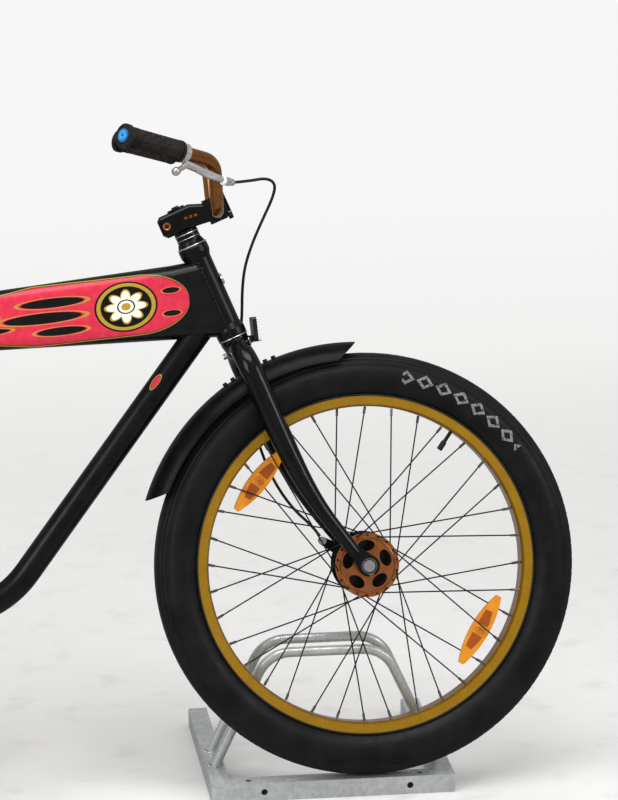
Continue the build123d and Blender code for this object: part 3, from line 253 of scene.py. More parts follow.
BLACK = (0.002, 0.002, 0.0025)
WORN_BLACK = (0.004, 0.004, 0.005)
SATIN_BLACK = (0.005, 0.005, 0.0055)
GOLD = rgb(0.42, 0.27, 0.03)
GLOSS = surface("gloss_black", BLACK, WORN_BLACK, (0.12, 0.2), coat=0.08, grain=0.01, shine=0.22)
SATIN = surface("satin_black", BLACK, SATIN_BLACK, (0.22, 0.32), grain=0.04, shine=0.22)
COPPER = surface(
    "copper_paint", (0.20, 0.066, 0.005), (0.31, 0.110, 0.010), (0.14, 0.28), metal=0.8, coat=0.5
)
CHROME = surface("chrome", (0.66, 0.67, 0.69), (0.78, 0.78, 0.80), (0.08, 0.18), metal=1.0, grain=0.01)
STEEL = surface("steel", (0.30, 0.30, 0.31), (0.45, 0.45, 0.46), (0.28, 0.42), metal=1.0)
ALUMINIUM = surface(
    "brushed_aluminium", (0.58, 0.57, 0.56), (0.74, 0.73, 0.72), (0.18, 0.3), metal=0.85
)
FENDER = surface("fender_black", BLACK, WORN_BLACK, (0.26, 0.36), grain=0.01, shine=0.1)
PLASTIC = surface(
    "black_plastic", (0.006, 0.006, 0.006), (0.011, 0.011, 0.011), (0.4, 0.55), grain=0.08, shine=0.35
)
BLUE_LIGHT = surface("blue_plug_centre", (0.012, 0.22, 0.52), (0.025, 0.29, 0.60), (0.25, 0.4))
BLUE = surface("blue_plastic", (0.005, 0.10, 0.30), (0.01, 0.16, 0.42), (0.25, 0.4))
DARK_STEEL = surface("dark_steel", (0.05, 0.05, 0.052), (0.09, 0.09, 0.093), (0.22, 0.34), metal=1.0)
ANODISED = surface("anodised_orange", (0.42, 0.10, 0.01), (0.55, 0.16, 0.02), (0.2, 0.3), metal=0.8)
AMBER = surface("amber_boss", (0.50, 0.14, 0.010), (0.66, 0.22, 0.02), (0.15, 0.25))
RIB = surface("tyre_rib", (0.005, 0.005, 0.005), (0.010, 0.010, 0.010), (0.45, 0.6), grain=0.08, shine=0.3)


def galvanised():
    """Zinc coating: cells of different greys, dulled in places."""
    g = Graph("galvanised")
    split = g.node("SeparateColor")
    g.put(split.inputs[0], g.cells(140.0)["Color"])
    tone = g.plus(g.times(split.outputs[0], 0.35), g.times(g.noise(12.0), 0.65))
    g.give("Base Color", g.mix(tone, rgb(0.40, 0.42, 0.41), rgb(0.78, 0.81, 0.80)))
    g.give("Roughness", g.spread(tone, 0.3, 0.7, 0.42, 0.25))
    g.give("Metallic", 0.6)
    g.bump(g.noise(420.0), 0.05)
    return g.material


def spoke_wire(name, matrix):
    """Black wire, with a plated nipple at the rim end."""
    g = Graph(name)
    radius, _ = g.polar(matrix)
    nipple = g.rising(radius, NIPPLE_START, NIPPLE_START + 0.0006)
    tone = g.tone(60.0, half=0.2)
    wire = g.mix(tone, rgb(0.002, 0.002, 0.002), rgb(0.005, 0.005, 0.005))
    plate = g.mix(tone, rgb(0.16, 0.15, 0.14), rgb(0.32, 0.31, 0.30))
    g.give("Base Color", g.mix(nipple, wire, plate))
    g.give("Metallic", g.spread(nipple, 0.0, 1.0, 0.0, 0.95))
    g.rough(200.0, 0.24, 0.38)
    g.give("Specular IOR Level", 0.25)
    g.grain(0.02)
    return g.material


# The tyre's ornament: radii in metres, angles in degrees
ORNAMENT_LOW = 0.308
ORNAMENT_MIDDLE = 0.321
ORNAMENT_HIGH = 0.334
ORNAMENT_START = 34.0
ORNAMENT_END = 76.0
DIAMOND_STEP = 6.0
LINE_STEP = 0.0055


def tyre_rubber(name, matrix):
    """Black rubber with moulded lines at the shoulder and a worn silver ornament on the wall."""
    g = Graph(name)
    radius, angle = g.polar(matrix)
    rubber = g.mix(g.tone(22.0, 6.0), rgb(0.0035, 0.0035, 0.004), rgb(0.008, 0.008, 0.009))
    # hollow diamonds along part of the wall
    band = g.between(radius, ORNAMENT_LOW, ORNAMENT_HIGH, 0.0006)
    span = g.between(angle, ORNAMENT_START, ORNAMENT_END, 0.15)
    along = g.magnitude(g.minus(g.math("FRACT", g.times(angle, 1.0 / DIAMOND_STEP)), 0.5))
    outward = g.times(g.magnitude(g.minus(radius, ORNAMENT_MIDDLE)), 38.0)
    from_middle = g.plus(along, outward)
    diamond = g.falling(from_middle, 0.43, 0.47)
    hole = g.rising(from_middle, 0.22, 0.26)
    worn = g.spread(g.noise(260.0, 5.0), 0.38, 0.5, 0.15, 1.0)
    mask = g.times(g.times(g.times(band, span), g.times(diamond, hole)), worn)
    g.give("Base Color", g.mix(mask, rubber, rgb(0.20, 0.21, 0.22)))
    g.rough(60.0, 0.38, 0.55)
    g.give("Specular IOR Level", 0.18)
    lines = g.math("SINE", g.times(radius, 2 * math.pi / LINE_STEP))
    shoulder = g.between(radius, 0.333, 0.349, 0.001)
    relief = g.plus(g.times(g.times(lines, shoulder), 0.8), g.times(g.noise(500.0), 0.15))
    g.bump(relief, 0.5, 0.0015)
    return g.material


# Radii where the rim's ochre lips give way to the painted shade of the wall inside them
WALL_RADIUS = 0.2665
LIP_RADIUS = 0.2705


def rim_paint(name, matrix):
    """Ochre metallic lips, with the wall inside them painted a darker brown as shade."""
    g = Graph(name)
    radius, _ = g.polar(matrix)
    # painted shade: 1 on the wall inside the lips, which is coloured a darker brown for the shadow there
    wall_shade = g.falling(radius, WALL_RADIUS, LIP_RADIUS)
    tone = g.tone(35.0, 5.0, 0.2)
    lip = g.mix(tone, rgb(0.40, 0.205, 0.002), rgb(0.47, 0.245, 0.003))
    # the wall's darker brown is painted shade, not a different paint
    wall = g.mix(tone, rgb(0.17, 0.075, 0.003), rgb(0.26, 0.12, 0.006))
    g.give("Base Color", g.mix(wall_shade, lip, wall))
    g.rough(80.0, 0.2, 0.34)
    g.give("Metallic", 0.55)
    g.give("Coat Weight", 0.4)
    g.bump(g.noise(700.0), 0.008)
    return g.material


# The tank's pattern: metres back from the field's nose and up from its middle line
TANK_NOSE = 0.272
TANK_LINE = 0.462
TANK_SLOPE = -0.055
FIELD_LENGTH = 0.515
FIELD_HALF_HEIGHT = 0.0475
TANK_OVALS = (
    (0.228, 0.020, 0.052, 0.0075),
    (0.245, -0.004, 0.064, 0.0085),
    (0.215, -0.028, 0.040, 0.0065),
    (0.375, 0.004, 0.050, 0.0055),
    (0.345, -0.017, 0.044, 0.0050),
    (0.030, 0.019, 0.014, 0.0045),
    (0.030, -0.019, 0.014, 0.0045),
)
NOSE_LENGTH = 0.085
TAIL_END = 0.52
TAIL_LENGTH = 0.26
ROSETTE = 0.106
ROSETTE_LENGTH = 0.00150
ROSETTE_HEIGHT = 0.00118


def tank_paint():
    """Black paint with a crimson field pierced by long ovals, and a cream rosette in a gold ring."""
    g = Graph("tank_art")
    x, _, z = g.local(BIKE)
    back = g.times(g.plus(x, TANK_NOSE), -1.0)
    up = g.minus(z, g.math("MULTIPLY_ADD", back, TANK_SLOPE, TANK_LINE))

    def oval(centre, height, half_length, half_height):
        """1 on the edge of an oval."""
        ahead = g.over(g.minus(back, centre), half_length)
        return g.length(ahead, g.over(g.minus(up, height), half_height))

    black = g.mix(g.tone(40.0), rgb(0.0025, 0.0025, 0.003), rgb(*SATIN_BLACK))
    red = g.mix(g.tone(90.0, half=0.2), rgb(0.56, 0.020, 0.050), rgb(0.66, 0.035, 0.070))
    cream = rgb(0.86, 0.83, 0.68)
    # the field: round at the nose, widest behind it, drawn out to a point
    nose = g.minus(1.0, g.lesser(g.over(back, NOSE_LENGTH), 1.0))
    round_nose = g.math("SQRT", g.greater(g.minus(1.0, g.times(nose, nose)), 0.0))
    tail = g.lesser(g.greater(g.over(g.minus(TAIL_END, back), TAIL_LENGTH), 0.0), 1.0)
    half = g.times(g.times(round_nose, g.math("POWER", tail, 0.8)), FIELD_HALF_HEIGHT)
    away = g.minus(g.magnitude(up), half)
    present = g.between(back, 0.0, FIELD_LENGTH, 0.0004)
    colour = g.mix(g.times(g.falling(away, -0.0004, 0.0004), present), black, red)
    colour = g.mix(g.times(g.between(away, 0.0012, 0.0026, 0.0004), present), colour, GOLD)
    # black ovals through it, each edged in gold
    for place in TANK_OVALS:
        edge = oval(*place)
        colour = g.mix(g.falling(edge, 1.00, 1.04), colour, black)
        colour = g.mix(g.between(edge, 1.10, 1.22, 0.03), colour, GOLD)
    # the rosette: rings round eight petals
    radius = oval(ROSETTE, 0.0, ROSETTE_LENGTH, ROSETTE_HEIGHT)
    behind = g.over(g.minus(back, ROSETTE), ROSETTE_LENGTH)
    angle = g.math("ARCTAN2", g.over(up, ROSETTE_HEIGHT), behind)
    petals = g.magnitude(g.math("COSINE", g.times(angle, 4.0)))
    beyond = g.minus(radius, g.math("MULTIPLY_ADD", petals, 9.5, 15.0))
    for mask, paint in (
        (g.falling(radius, 35.0, 35.5), black),
        (g.between(radius, 28.5, 33.0, 0.3), GOLD),
        (g.falling(beyond, -0.2, 0.3), GOLD),
        (g.falling(beyond, -2.6, -2.1), cream),
        (g.between(radius, 8.4, 10.2, 0.3), black),
        (g.falling(radius, 5.0, 5.5), GOLD),
    ):
        colour = g.mix(mask, colour, paint)
    g.give("Base Color", colour)
    g.rough(60.0, 0.2, 0.3)
    g.give("Coat Weight", 0.08)
    g.give("Specular IOR Level", 0.25)
    g.bump(g.noise(800.0), 0.02)
    return g.material


def down_tube_paint():
    """Satin black with one short crimson flash edged in gold."""
    g = Graph("down_tube_black")
    x, _, z = g.local(BIKE)
    black = g.mix(g.tone(30.0), rgb(*BLACK), rgb(*SATIN_BLACK))
    # the flash lies along the tube, which is 51 degrees from level here
    level, steep = 0.63, 0.78
    ahead = g.plus(x, 0.326)
    up = g.minus(z, 0.320)
    along = g.plus(g.times(ahead, level), g.times(up, steep))
    across = g.minus(g.times(up, level), g.times(ahead, steep))
    edge = g.length(g.over(along, 0.012), g.over(g.minus(across, 0.0125), 0.0042))
    colour = g.mix(g.falling(edge, 0.98, 1.04), black, rgb(0.50, 0.020, 0.045))
    g.give("Base Color", g.mix(g.between(edge, 1.12, 1.30, 0.04), colour, GOLD))
    g.rough(90.0, 0.22, 0.32)
    g.give("Specular IOR Level", 0.22)
    g.grain(0.04)
    return g.material


def hub_paint():
    """Bright copper on the cover, black inside its windows and on the drum behind."""
    g = Graph("hub_copper")
    copper = g.mix(g.tone(60.0, half=0.2), rgb(0.42, 0.135, 0.040), rgb(0.58, 0.21, 0.070))
    inside = g.rising(g.local(BIKE)[1], HUB_INSIDE, HUB_INSIDE + 0.0004)
    g.give("Base Color", g.mix(inside, copper, rgb(0.004, 0.0035, 0.003)))
    g.give("Metallic", g.spread(inside, 0.0, 1.0, 0.85, 0.0))
    g.rough(80.0, 0.14, 0.26)
    g.give("Specular IOR Level", 0.3)
    g.grain(0.02)
    return g.material


def amber_lens():
    """Clear orange rim and ends round two darker fields of prisms."""
    g = Graph("amber_lens")
    radius, angle = g.polar(BIKE)
    arcs = []
    for centre in REFLECTOR_ANGLES:
        # metres along the arc, for an angle in degrees
        arcs.append(g.magnitude(g.times(g.minus(angle, centre), math.radians(REFLECTOR_RADIUS))))
    along = g.lesser(*arcs)
    outward = g.magnitude(g.minus(radius, REFLECTOR_RADIUS))
    edge = g.minus(g.plus(outward, g.times(g.times(along, along), 3.2)), 0.0098)
    field = g.times(g.falling(edge, -0.0003, 0.0003), g.between(along, 0.0095, 0.036, 0.0003))
    x, _, z = g.local(BIKE)
    ridges = g.prisms(x, z)
    prisms = g.mix(ridges, rgb(0.22, 0.040, 0.003), rgb(0.50, 0.115, 0.006))
    clear = g.mix(g.tone(60.0, half=0.2), rgb(0.62, 0.20, 0.006), rgb(0.74, 0.28, 0.010))
    g.give("Base Color", g.mix(field, clear, prisms))
    g.rough(70.0, 0.12, 0.25)
    g.bump(g.times(ridges, field), 0.4, 0.0006)
    return g.material


def reflector_paint():
    """White prisms on the front face, black housing behind."""
    g = Graph("front_reflector")
    tilt = Matrix.Rotation(math.radians(18.0), 4, "Y")
    x, y, z = g.local(STEERING @ Matrix.Translation((0.040, 0, 0.419)) @ tilt)
    ridges = g.prisms(y, z)
    tone = g.plus(g.times(ridges, 0.7), g.times(g.noise(50.0), 0.3))
    white = g.mix(tone, rgb(0.55, 0.56, 0.58), rgb(0.82, 0.83, 0.85))
    face = g.rising(x, 0.0010, 0.0014)
    g.give("Base Color", g.mix(face, rgb(0.006, 0.006, 0.006), white))
    g.rough(70.0, 0.15, 0.3)
    g.bump(g.times(ridges, face), 0.4, 0.0006)
    return g.material


def grip_rubber():
    """Matt rubber, a little brown."""
    g = Graph("rubber_black")
    g.give("Base Color", g.mix(g.tone(45.0, 6.0), rgb(0.0075, 0.0052, 0.0042), rgb(0.0145, 0.0100, 0.0084)))
    g.rough(90.0, 0.42, 0.6)
    g.give("Specular IOR Level", 0.3)
    g.bump(g.noise(1100.0), 0.12)
    return g.material


def leather():
    """Black leather with a fine pebbled grain."""
    g = Graph("saddle_black")
    g.give("Base Color", g.mix(g.tone(30.0, 6.0), rgb(0.007, 0.0065, 0.006), rgb(0.015, 0.014, 0.013)))
    g.rough(70.0, 0.36, 0.52)
    g.give("Specular IOR Level", 0.3)
    g.bump(g.cells(420.0)["Distance"], 0.25, 0.0008)
    return g.material


GALVANISED = galvanised()
GRIP = grip_rubber()
LEATHER = leather()
FINISH = {
    "rack_base": GALVANISED,
    "rack_hoops": GALVANISED,
    "fork": GLOSS,
    "headset_spacers": SATIN,
    "stem": GLOSS,
    "stem_faceplate": SATIN,
    "handlebar": COPPER,
    "grip_right": GRIP,
    "grip_left": GRIP,
    "grip_plugs": BLUE,
    "brake_lever": ALUMINIUM,
    "brake_cable": PLASTIC,
    "drum_brake": SATIN,
    "front_axle": CHROME,
    "front_fender": FENDER,
    "front_reflector": reflector_paint(),
    "front_tyre": tyre_rubber("front_tyre_black", BIKE),
    "front_rim": rim_paint("front_rim_ochre", BIKE),
    "front_spokes": spoke_wire("front_spoke_black", BIKE),
    "front_hub": hub_paint(),
    "front_wheel_reflectors": amber_lens(),
    "front_valve": PLASTIC,
    "head_tube": SATIN,
    "tank": tank_paint(),
    "down_tube": down_tube_paint(),
    "seat_tube": SATIN,
    "bottom_bracket": SATIN,
    "chainstays": SATIN,
    "seatstays": SATIN,
    "rear_axle": CHROME,
    "seat_post": CHROME,
    "saddle": LEATHER,
    "saddle_frame": STEEL,
    "rear_fender": FENDER,
    "chain": STEEL,
    "chain_guard": GLOSS,
    "rear_tyre": tyre_rubber("rear_tyre_black", REAR),
    "rear_rim": rim_paint("rear_rim_ochre", REAR),
    "rear_spokes": spoke_wire("rear_spoke_black", REAR),
    "rear_hub": COPPER,
    "crankset": CHROME,
    "pedal_right": PLASTIC,
    "pedal_left": PLASTIC,
    "side_stand": CHROME,
}
for name, material in FINISH.items():
    for slot in nodes[name].material_slots:
        slot.material = material


def placed(name, data):
    """A new object in the scene."""
    made = bpy.data.objects.new(name, data)
    bpy.context.scene.collection.objects.link(made)
    return made


def facing(place, axis):
    """A frame at a point with its Z along the axis."""
    turn = Vector(axis).to_track_quat("Z", "Y").to_matrix().to_4x4()
    return Matrix.Translation(Vector(place)) @ turn


def on(base, place, axis):
    """The same, with the point and the axis given in another frame."""
    return facing(base @ Vector(place), base.to_3x3() @ Vector(axis))


def round_axle(radius, degrees, across=0.0):
    """A point in a wheel's frame, by its angle from forwards towards up."""
    a = math.radians(degrees)
    return Vector((radius * math.cos(a), across, radius * math.sin(a)))


def loop_faces(first, second, sides):
    """The quads between two rings of points, given by the number of each ring's first point."""
    faces = []
    for k in range(sides):
        m = (k + 1) % sides
        faces.append((first + k, first + m, second + m, second + k))
    return faces


class Trim:
    """Small solid shapes gathered into one mesh piece."""

    def __init__(self):
        self.points = []
        self.faces = []

    def add(self, points, faces):
        first = len(self.points)
        self.points += [tuple(p) for p in points]
        self.faces += [tuple(first + i for i in face) for face in faces]

    def turned(self, frame_at, profile, sides=24, closed=False):
        """A profile of (radius, height) turned round Z; closed joins its end to its start."""
        points = []
        for radius, height in profile:
            for k in range(sides):
                a = 2 * math.pi * k / sides
                points.append(frame_at @ Vector((radius * math.cos(a), radius * math.sin(a), height)))
        faces = []
        count = len(profile)
        for i in range(count if closed else count - 1):
            faces += loop_faces(i * sides, (i + 1) % count * sides, sides)
        if not closed:
            faces.append(tuple(reversed(range(sides))))
            faces.append(tuple((count - 1) * sides + k for k in range(sides)))
        self.add(points, faces)

    def ring(self, frame_at, radius, section, sides=48, round_sides=8):
        """A torus round Z."""
        profile = []
        for k in range(round_sides):
            a = 2 * math.pi * k / round_sides
            profile.append((radius + section * math.cos(a), section * math.sin(a)))
        self.turned(frame_at, profile, sides, closed=True)

    def bead(self, path, radius, ripple, waves, sides=8):
        """A weld bead along points: a round bar with a rippled radius."""
        points = []
        rings = len(path)
        for i, p in enumerate(path):
            ahead = path[min(i + 1, rings - 1)] - path[max(i - 1, 0)]
            at = facing(p, ahead.normalized())
            r = radius * (1 + ripple * math.sin(waves * 2 * math.pi * i / rings))
            for k in range(sides):
                a = 2 * math.pi * k / sides
                points.append(at @ Vector((r * math.cos(a), r * math.sin(a), 0)))
        faces = []
        for i in range(rings - 1):
            faces += loop_faces(i * sides, (i + 1) * sides, sides)
        faces.append(tuple(reversed(range(sides))))
        faces.append(tuple((rings - 1) * sides + k for k in range(sides)))
        self.add(points, faces)

    def block(self, frame_at, size, bevel):
        """A box with its upper edges cut back."""
        hx, hy, hz = (v / 2 for v in size)
        points = []
        for x, y, z in ((hx, hy, -hz), (hx, hy, hz - bevel), (hx - bevel, hy - bevel, hz)):
            for sx, sy in ((-1, -1), (1, -1), (1, 1), (-1, 1)):
                points.append(frame_at @ Vector((sx * x, sy * y, z)))
        self.add(points, [(3, 2, 1, 0), (8, 9, 10, 11)] + loop_faces(0, 4, 4) + loop_faces(4, 8, 4))

    def bolt(self, frame_at, radius, height, sides=6):
        """A head with a bevel and a sunk socket."""
        socket = radius * 0.5
        profile = [
            (radius, -0.001),
            (radius, height * 0.75),
            (radius * 0.88, height),
            (socket, height),
            (socket * 0.96, height * 0.35),
            (0.0002, height * 0.3),
        ]
        self.turned(frame_at, profile, sides)

    def cap_screw(self, frame_at, radius, height):
        self.bolt(frame_at, radius, height, 20)

    def make(self, name, material, body, smooth=True):
        mesh = bpy.data.meshes.new(name)
        mesh.from_pydata(self.points, [], self.faces)
        made = placed(name, mesh)
        work = bmesh.new()
        work.from_mesh(mesh)
        bmesh.ops.recalc_face_normals(work, faces=work.faces)
        work.to_mesh(mesh)
        work.free()
        mesh.materials.append(material)
        if smooth:
            for polygon in mesh.polygons:
                polygon.use_smooth = True
            mesh.set_sharp_from_angle(angle=math.radians(32))
        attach(made, body)


# Degrees from the tyre's middle line, and the size of the tread's blocks
RIB_ANGLES = (24.0, 30.0, 36.0, 42.0, 48.0)
TREAD_ROWS = ((-13.0, 0.012), (0.0, 0.010), (13.0, 0.012))
TREAD_HEIGHT = 0.0016
BEAD_RADIUS = 0.2856
BEAD_HALF = 0.0246


def tyre_lines(label, base, body):
    """Raised ribs near the tread, and the bead line at the rim."""
    ribs = Trim()
    beads = Trim()
    section = TYRE_SECTION - 0.0003
    for side in (-1, 1):
        for degrees in RIB_ANGLES:
            a = math.radians(degrees)
            at = on(base, (0, side * section * math.sin(a), 0), (0, 1, 0))
            ribs.ring(at, RING_RADIUS + section * math.cos(a), 0.0009, 160, 6)
        beads.ring(on(base, (0, side * BEAD_HALF, 0), (0, 1, 0)), BEAD_RADIUS, 0.0016, 160, 8)
    ribs.make(label + "_tyre_ribs", RIB, body)
    beads.make(label + "_tyre_bead", RIB, body)


def tread_blocks(label, base, body):
    """Low blocks round the running face, in three rows."""
    blocks = Trim()
    count = 96
    section = TYRE_SECTION - 0.0006
    for row, (degrees, size) in enumerate(TREAD_ROWS):
        a = math.radians(degrees)
        for k in range(count):
            t = 2 * math.pi * (k + 0.5 * (row % 2)) / count
            spoke = Vector((math.cos(t), 0, math.sin(t)))
            outward = spoke * math.cos(a) + Vector((0, math.sin(a), 0))
            place = spoke * (RING_RADIUS + section * math.cos(a))
            place.y = section * math.sin(a)
            along = Vector((-math.sin(t), 0, math.cos(t)))
            turn = Matrix((along, outward.cross(along), outward)).transposed().to_4x4()
            at = base @ Matrix.Translation(place) @ turn
            blocks.block(at, (size * 1.5, size * 0.7, TREAD_HEIGHT), 0.0004)
    blocks.make(label + "_tread", RIB, body, smooth=False)


for label, base, body in (("front", BIKE, "front_wheel"), ("rear", REAR, "rear_wheel")):
    tyre_lines(label, base, body)
    tread_blocks(label, base, body)

# Bosses and screws of the amber reflectors, one each side of each
BOSS_PROFILE = ((0.0085, -0.001), (0.0085, 0.0006), (0.0078, 0.0012), (0.0001, 0.0012))
REFLECTOR_FACE = 0.0043
screws = Trim()
for degrees in REFLECTOR_ANGLES:
    for side in (-1, 1):
        at = on(BIKE, round_axle(REFLECTOR_RADIUS, degrees, side * REFLECTOR_FACE), (0, side, 0))
        screws.turned(at, BOSS_PROFILE, 32)
        screws.cap_screw(at, 0.0042, 0.0028)
screws.make("wheel_reflector_screws", AMBER, "front_wheel")

# Front hub: heads of the outer spokes, lip of the cover and washers of the axle
HEAD_CIRCLE = 0.0508
FIRST_HEAD = 6.6
HEAD_STEP = 20.0
heads = Trim()
for k in range(18):
    at = on(BIKE, round_axle(HEAD_CIRCLE, FIRST_HEAD + HEAD_STEP * k, -HUB_FACE), (0, -1, 0))
    heads.cap_screw(at, 0.0019, 0.0012)
heads.make("spoke_heads", DARK_STEEL, "front_wheel")
lip = Trim()
lip.ring(on(BIKE, (0, -HUB_FACE, 0), (0, -1, 0)), 0.0462, 0.0011, 72)
lip.make("hub_cover_lip", COPPER, "front_wheel")
washers = Trim()
for side in (-1, 1):
    washers.ring(on(BIKE, (0, side * WASHER_OUT, 0), (0, 1, 0)), 0.0112, 0.0013, 40)
washers.make("axle_washers", PLASTIC, "front_end")

# Rings of the headset: place along the steering axis, radius and section
rings = Trim()
for along, radius, section in (
    (HEAD_TOP + 0.0005, 0.0246, 0.0012),
    (HEAD_START - 0.0004, 0.0250, 0.0011),
    (HEAD_TOP + 0.0145, 0.0203, 0.0006),
    (HEAD_TOP + 0.0225, 0.0203, 0.0008),
):
    rings.ring(on(STEERING, (0, 0, along), (0, 0, 1)), radius, section, 64)
rings.make("headset_rings", ALUMINIUM, "front_end")

# Stem: bolts of the faceplate and of the steerer, and the faceplate's teeth
BOLT_OUT = STEM_REACH + 0.0168
TOOTH_OUT = STEM_REACH + 0.0182
STEM_TOP = STEM_MIDDLE + 0.0218
bolts = Trim()
for across in (-0.017, 0.017):
    for rise in (-0.015, 0.015):
        at = on(COCKPIT, (BOLT_OUT, across, CLAMP_MIDDLE + rise), (1, 0, 0))
        bolts.cap_screw(at, 0.0044, 0.004)
bolts.cap_screw(on(COCKPIT, (0, 0, STEM_TOP), (0, 0, 1)), 0.0065, 0.003)
bolts.make("stem_bolts", DARK_STEEL, "front_end")
teeth = Trim()
for rise in (-0.0145, 0.0, 0.0145):
    at = on(COCKPIT, (TOOTH_OUT, 0, CLAMP_MIDDLE + rise), (1, 0, 0))
    teeth.block(at, (0.0100, 0.020, 0.0080), 0.0014)
teeth.make("faceplate_ribs", SATIN, "front_end", smooth=False)

# Screw in an anodised ring, and three plain bars, on the stem's right side
COLLAR_PROFILE = ((0.0066, -0.001), (0.0066, 0.0009), (0.0052, 0.0013), (0.0040, 0.0006), (0.0040, -0.001))
side_at = on(COCKPIT, (-0.0255, -STEM_SIDE, STEM_MIDDLE), (0, -1, 0))
collar = Trim()
collar.turned(side_at, COLLAR_PROFILE, 40, closed=True)
collar.make("stem_side_ring", ANODISED, "front_end")
screw = Trim()
screw.cap_screw(side_at, 0.0038, 0.0010)
screw.make("stem_side_bolt", DARK_STEEL, "front_end")
bars = Trim()
upright = Matrix.Rotation(math.radians(90), 4, "X")
slant = Matrix.Rotation(math.radians(-12), 4, "Z")
for k in range(3):
    place = (0.0090 + 0.0085 * k, -0.0187 - 0.0007 * k, STEM_MIDDLE + 0.0002 - 0.0010 * k)
    bars.block(COCKPIT @ Matrix.Translation(place) @ upright @ slant, (0.0058, 0.0042, 0.0012), 0.0004)
bars.make("stem_side_bars", ANODISED, "front_end", smooth=False)

# Crown: bolt and washer of the reflector's bracket, a screw on each shoulder, and a bolt behind
crown = Trim()
crown.bolt(on(STEERING, (0.0232, 0, CROWN + 0.014), (1, 0, 0)), 0.0058, 0.005)
washer_at = on(STEERING, (0.0215, 0, CROWN + 0.014), (1, 0, 0))
crown.turned(washer_at, [(0.0085, 0), (0.0085, 0.0016), (0.005, 0.0018)], 28)
for across in (-0.034, 0.034):
    crown.cap_screw(on(STEERING, (0.012, across, CROWN - 0.0005), (0.8, 0, 0.6)), 0.0036, 0.0026)
crown.bolt(on(STEERING, (-0.0232, 0, CROWN + 0.006), (-1, 0, 0)), 0.0052, 0.006)
crown.make("crown_bolts", ALUMINIUM, "front_end")

# Studs on top of the front fender, behind the crown
studs = Trim()
for degrees in (108.8, 111.1, 120.7, 123.1):
    outward = round_axle(1.0, degrees)
    studs.cap_screw(on(BIKE, FENDER_CENTRE + outward * FENDER_OUT, outward), 0.0040, 0.0042)
studs.make("fender_studs", PLASTIC, "front_end")

# Head tube: a plain oval plate in front, and a weld bead down each side
BADGE_PROFILE = ((0.0095, -0.002), (0.0095, 0.0010), (0.0085, 0.0018), (0.0072, 0.0010), (0.0001, 0.0012))
BADGE_RISE = HEAD_START + 0.097
BADGE_STRETCH = 1.55
badge = Trim()
oval = on(STEERING, (0.0228, 0, BADGE_RISE), (1, 0, 0)) @ Matrix.Diagonal((BADGE_STRETCH, 1.0, 1.0, 1.0))
badge.turned(oval, BADGE_PROFILE, 48)
badge.make("head_plate", ALUMINIUM, "frame")
WELD_LENGTH = 0.134
WELD_OUT = 0.0232
beads = Trim()
for side in (-1, 1):
    path = []
    for i in range(121):
        along = HEAD_START + 0.004 + WELD_LENGTH * i / 120
        path.append(STEERING @ Vector((-0.0045, side * WELD_OUT, along)))
    beads.bead(path, 0.0023, 0.28, 34)
beads.make("head_tube_welds", SATIN, "frame")

# Grips: rings at both ends, rows of pads between them, and the plug's raised middle
BAR_BEND = Vector((0.086, 0.149, STEM_MIDDLE + 0.068))
BAR_END = Vector((-0.034, 0.275, STEM_MIDDLE + 0.165))
# how many rings, the first one's place back from the bar's end, their step, radius and section
GRIP_RINGS = ((4, -0.114, 0.0065, 0.0166, 0.0011), (3, -0.024, 0.0055, 0.0167, 0.0012))
PAD_ROWS = 9
PAD_TWIST = 0.17
PLUG_PROFILE = (
    (0.0085, 0.0022),
    (0.0085, 0.0031),
    (0.0075, 0.0036),
    (0.0045, 0.0036),
    (0.004, 0.0029),
    (0.0001, 0.0028),
)
for label, side in (("right", -1), ("left", 1)):
    bend = Vector((BAR_BEND.x, side * BAR_BEND.y, BAR_BEND.z))
    outer = Vector((BAR_END.x, side * BAR_END.y, BAR_END.z))
    at = on(COCKPIT, outer, (outer - bend).normalized())
    ribs = Trim()
    for count, first, step, radius, section in GRIP_RINGS:
        for k in range(count):
            ribs.ring(at @ Matrix.Translation((0, 0, first + step * k)), radius, section, 40)
    for k in range(PAD_ROWS):
        a = 2 * math.pi * k / PAD_ROWS
        for j in range(6):
            turn = Matrix.Rotation(a + (PAD_TWIST if j % 2 else -PAD_TWIST), 4, "Z")
            pad = at @ turn @ Matrix.Translation((0.0164, 0, -0.084 + 0.0105 * j))
            pad = pad @ Matrix.Rotation(math.radians(90), 4, "Y")
            ribs.block(pad, (0.0082, 0.0078, 0.0018), 0.0006)
    ribs.make("grip_ribs_" + label, GRIP, "front_end")
    plug = Trim()
    plug.turned(at, PLUG_PROFILE, 32)
    plug.make("grip_plug_centre_" + label, BLUE_LIGHT, "front_end")
    hole = Trim()
    hole.turned(at, [(0.0017, 0.0026), (0.0017, 0.0033), (0.0001, 0.0034)], 20)
    hole.make("grip_plug_hole_" + label, PLASTIC, "front_end")

# Brake lever: adjusting barrel and pivot screw
pivot = Vector((0.091, -0.145, STEM_MIDDLE + 0.030))
barrel_end = Vector((0.100, -0.127, STEM_MIDDLE + 0.024))
heading = (barrel_end - pivot).normalized()
BARREL_PROFILE = (
    (0.0052, -0.009),
    (0.0058, -0.008),
    (0.0058, -0.002),
    (0.0048, 0.0),
    (0.0036, 0.0006),
    (0.0036, 0.004),
)
lever = Trim()
lever.turned(on(COCKPIT, barrel_end, heading), BARREL_PROFILE, 18)
across = heading.cross(Vector((0, 0, 1))).normalized()
lever.bolt(on(COCKPIT, pivot - across * 0.0066, -across), 0.0045, 0.0024)
lever.make("lever_screws", CHROME, "front_end")

# Drum brake: bolts at both ends of the arm's knob, and a hexagon in the axle's left end
knob = STEERING @ Vector(KNOB)
left = BIKE.to_3x3() @ Vector((0, 1, 0))
clamp = Trim()
clamp.bolt(facing(knob + left * KNOB_OUT, left), 0.0055, 0.004)
clamp.cap_screw(facing(knob + left * KNOB_IN, -left), 0.0066, 0.0035)
clamp.bolt(facing(BIKE @ Vector((0, AXLE_END, 0)), left), 0.0048, 0.001)
clamp.make("brake_arm_bolts", ALUMINIUM, "front_end")

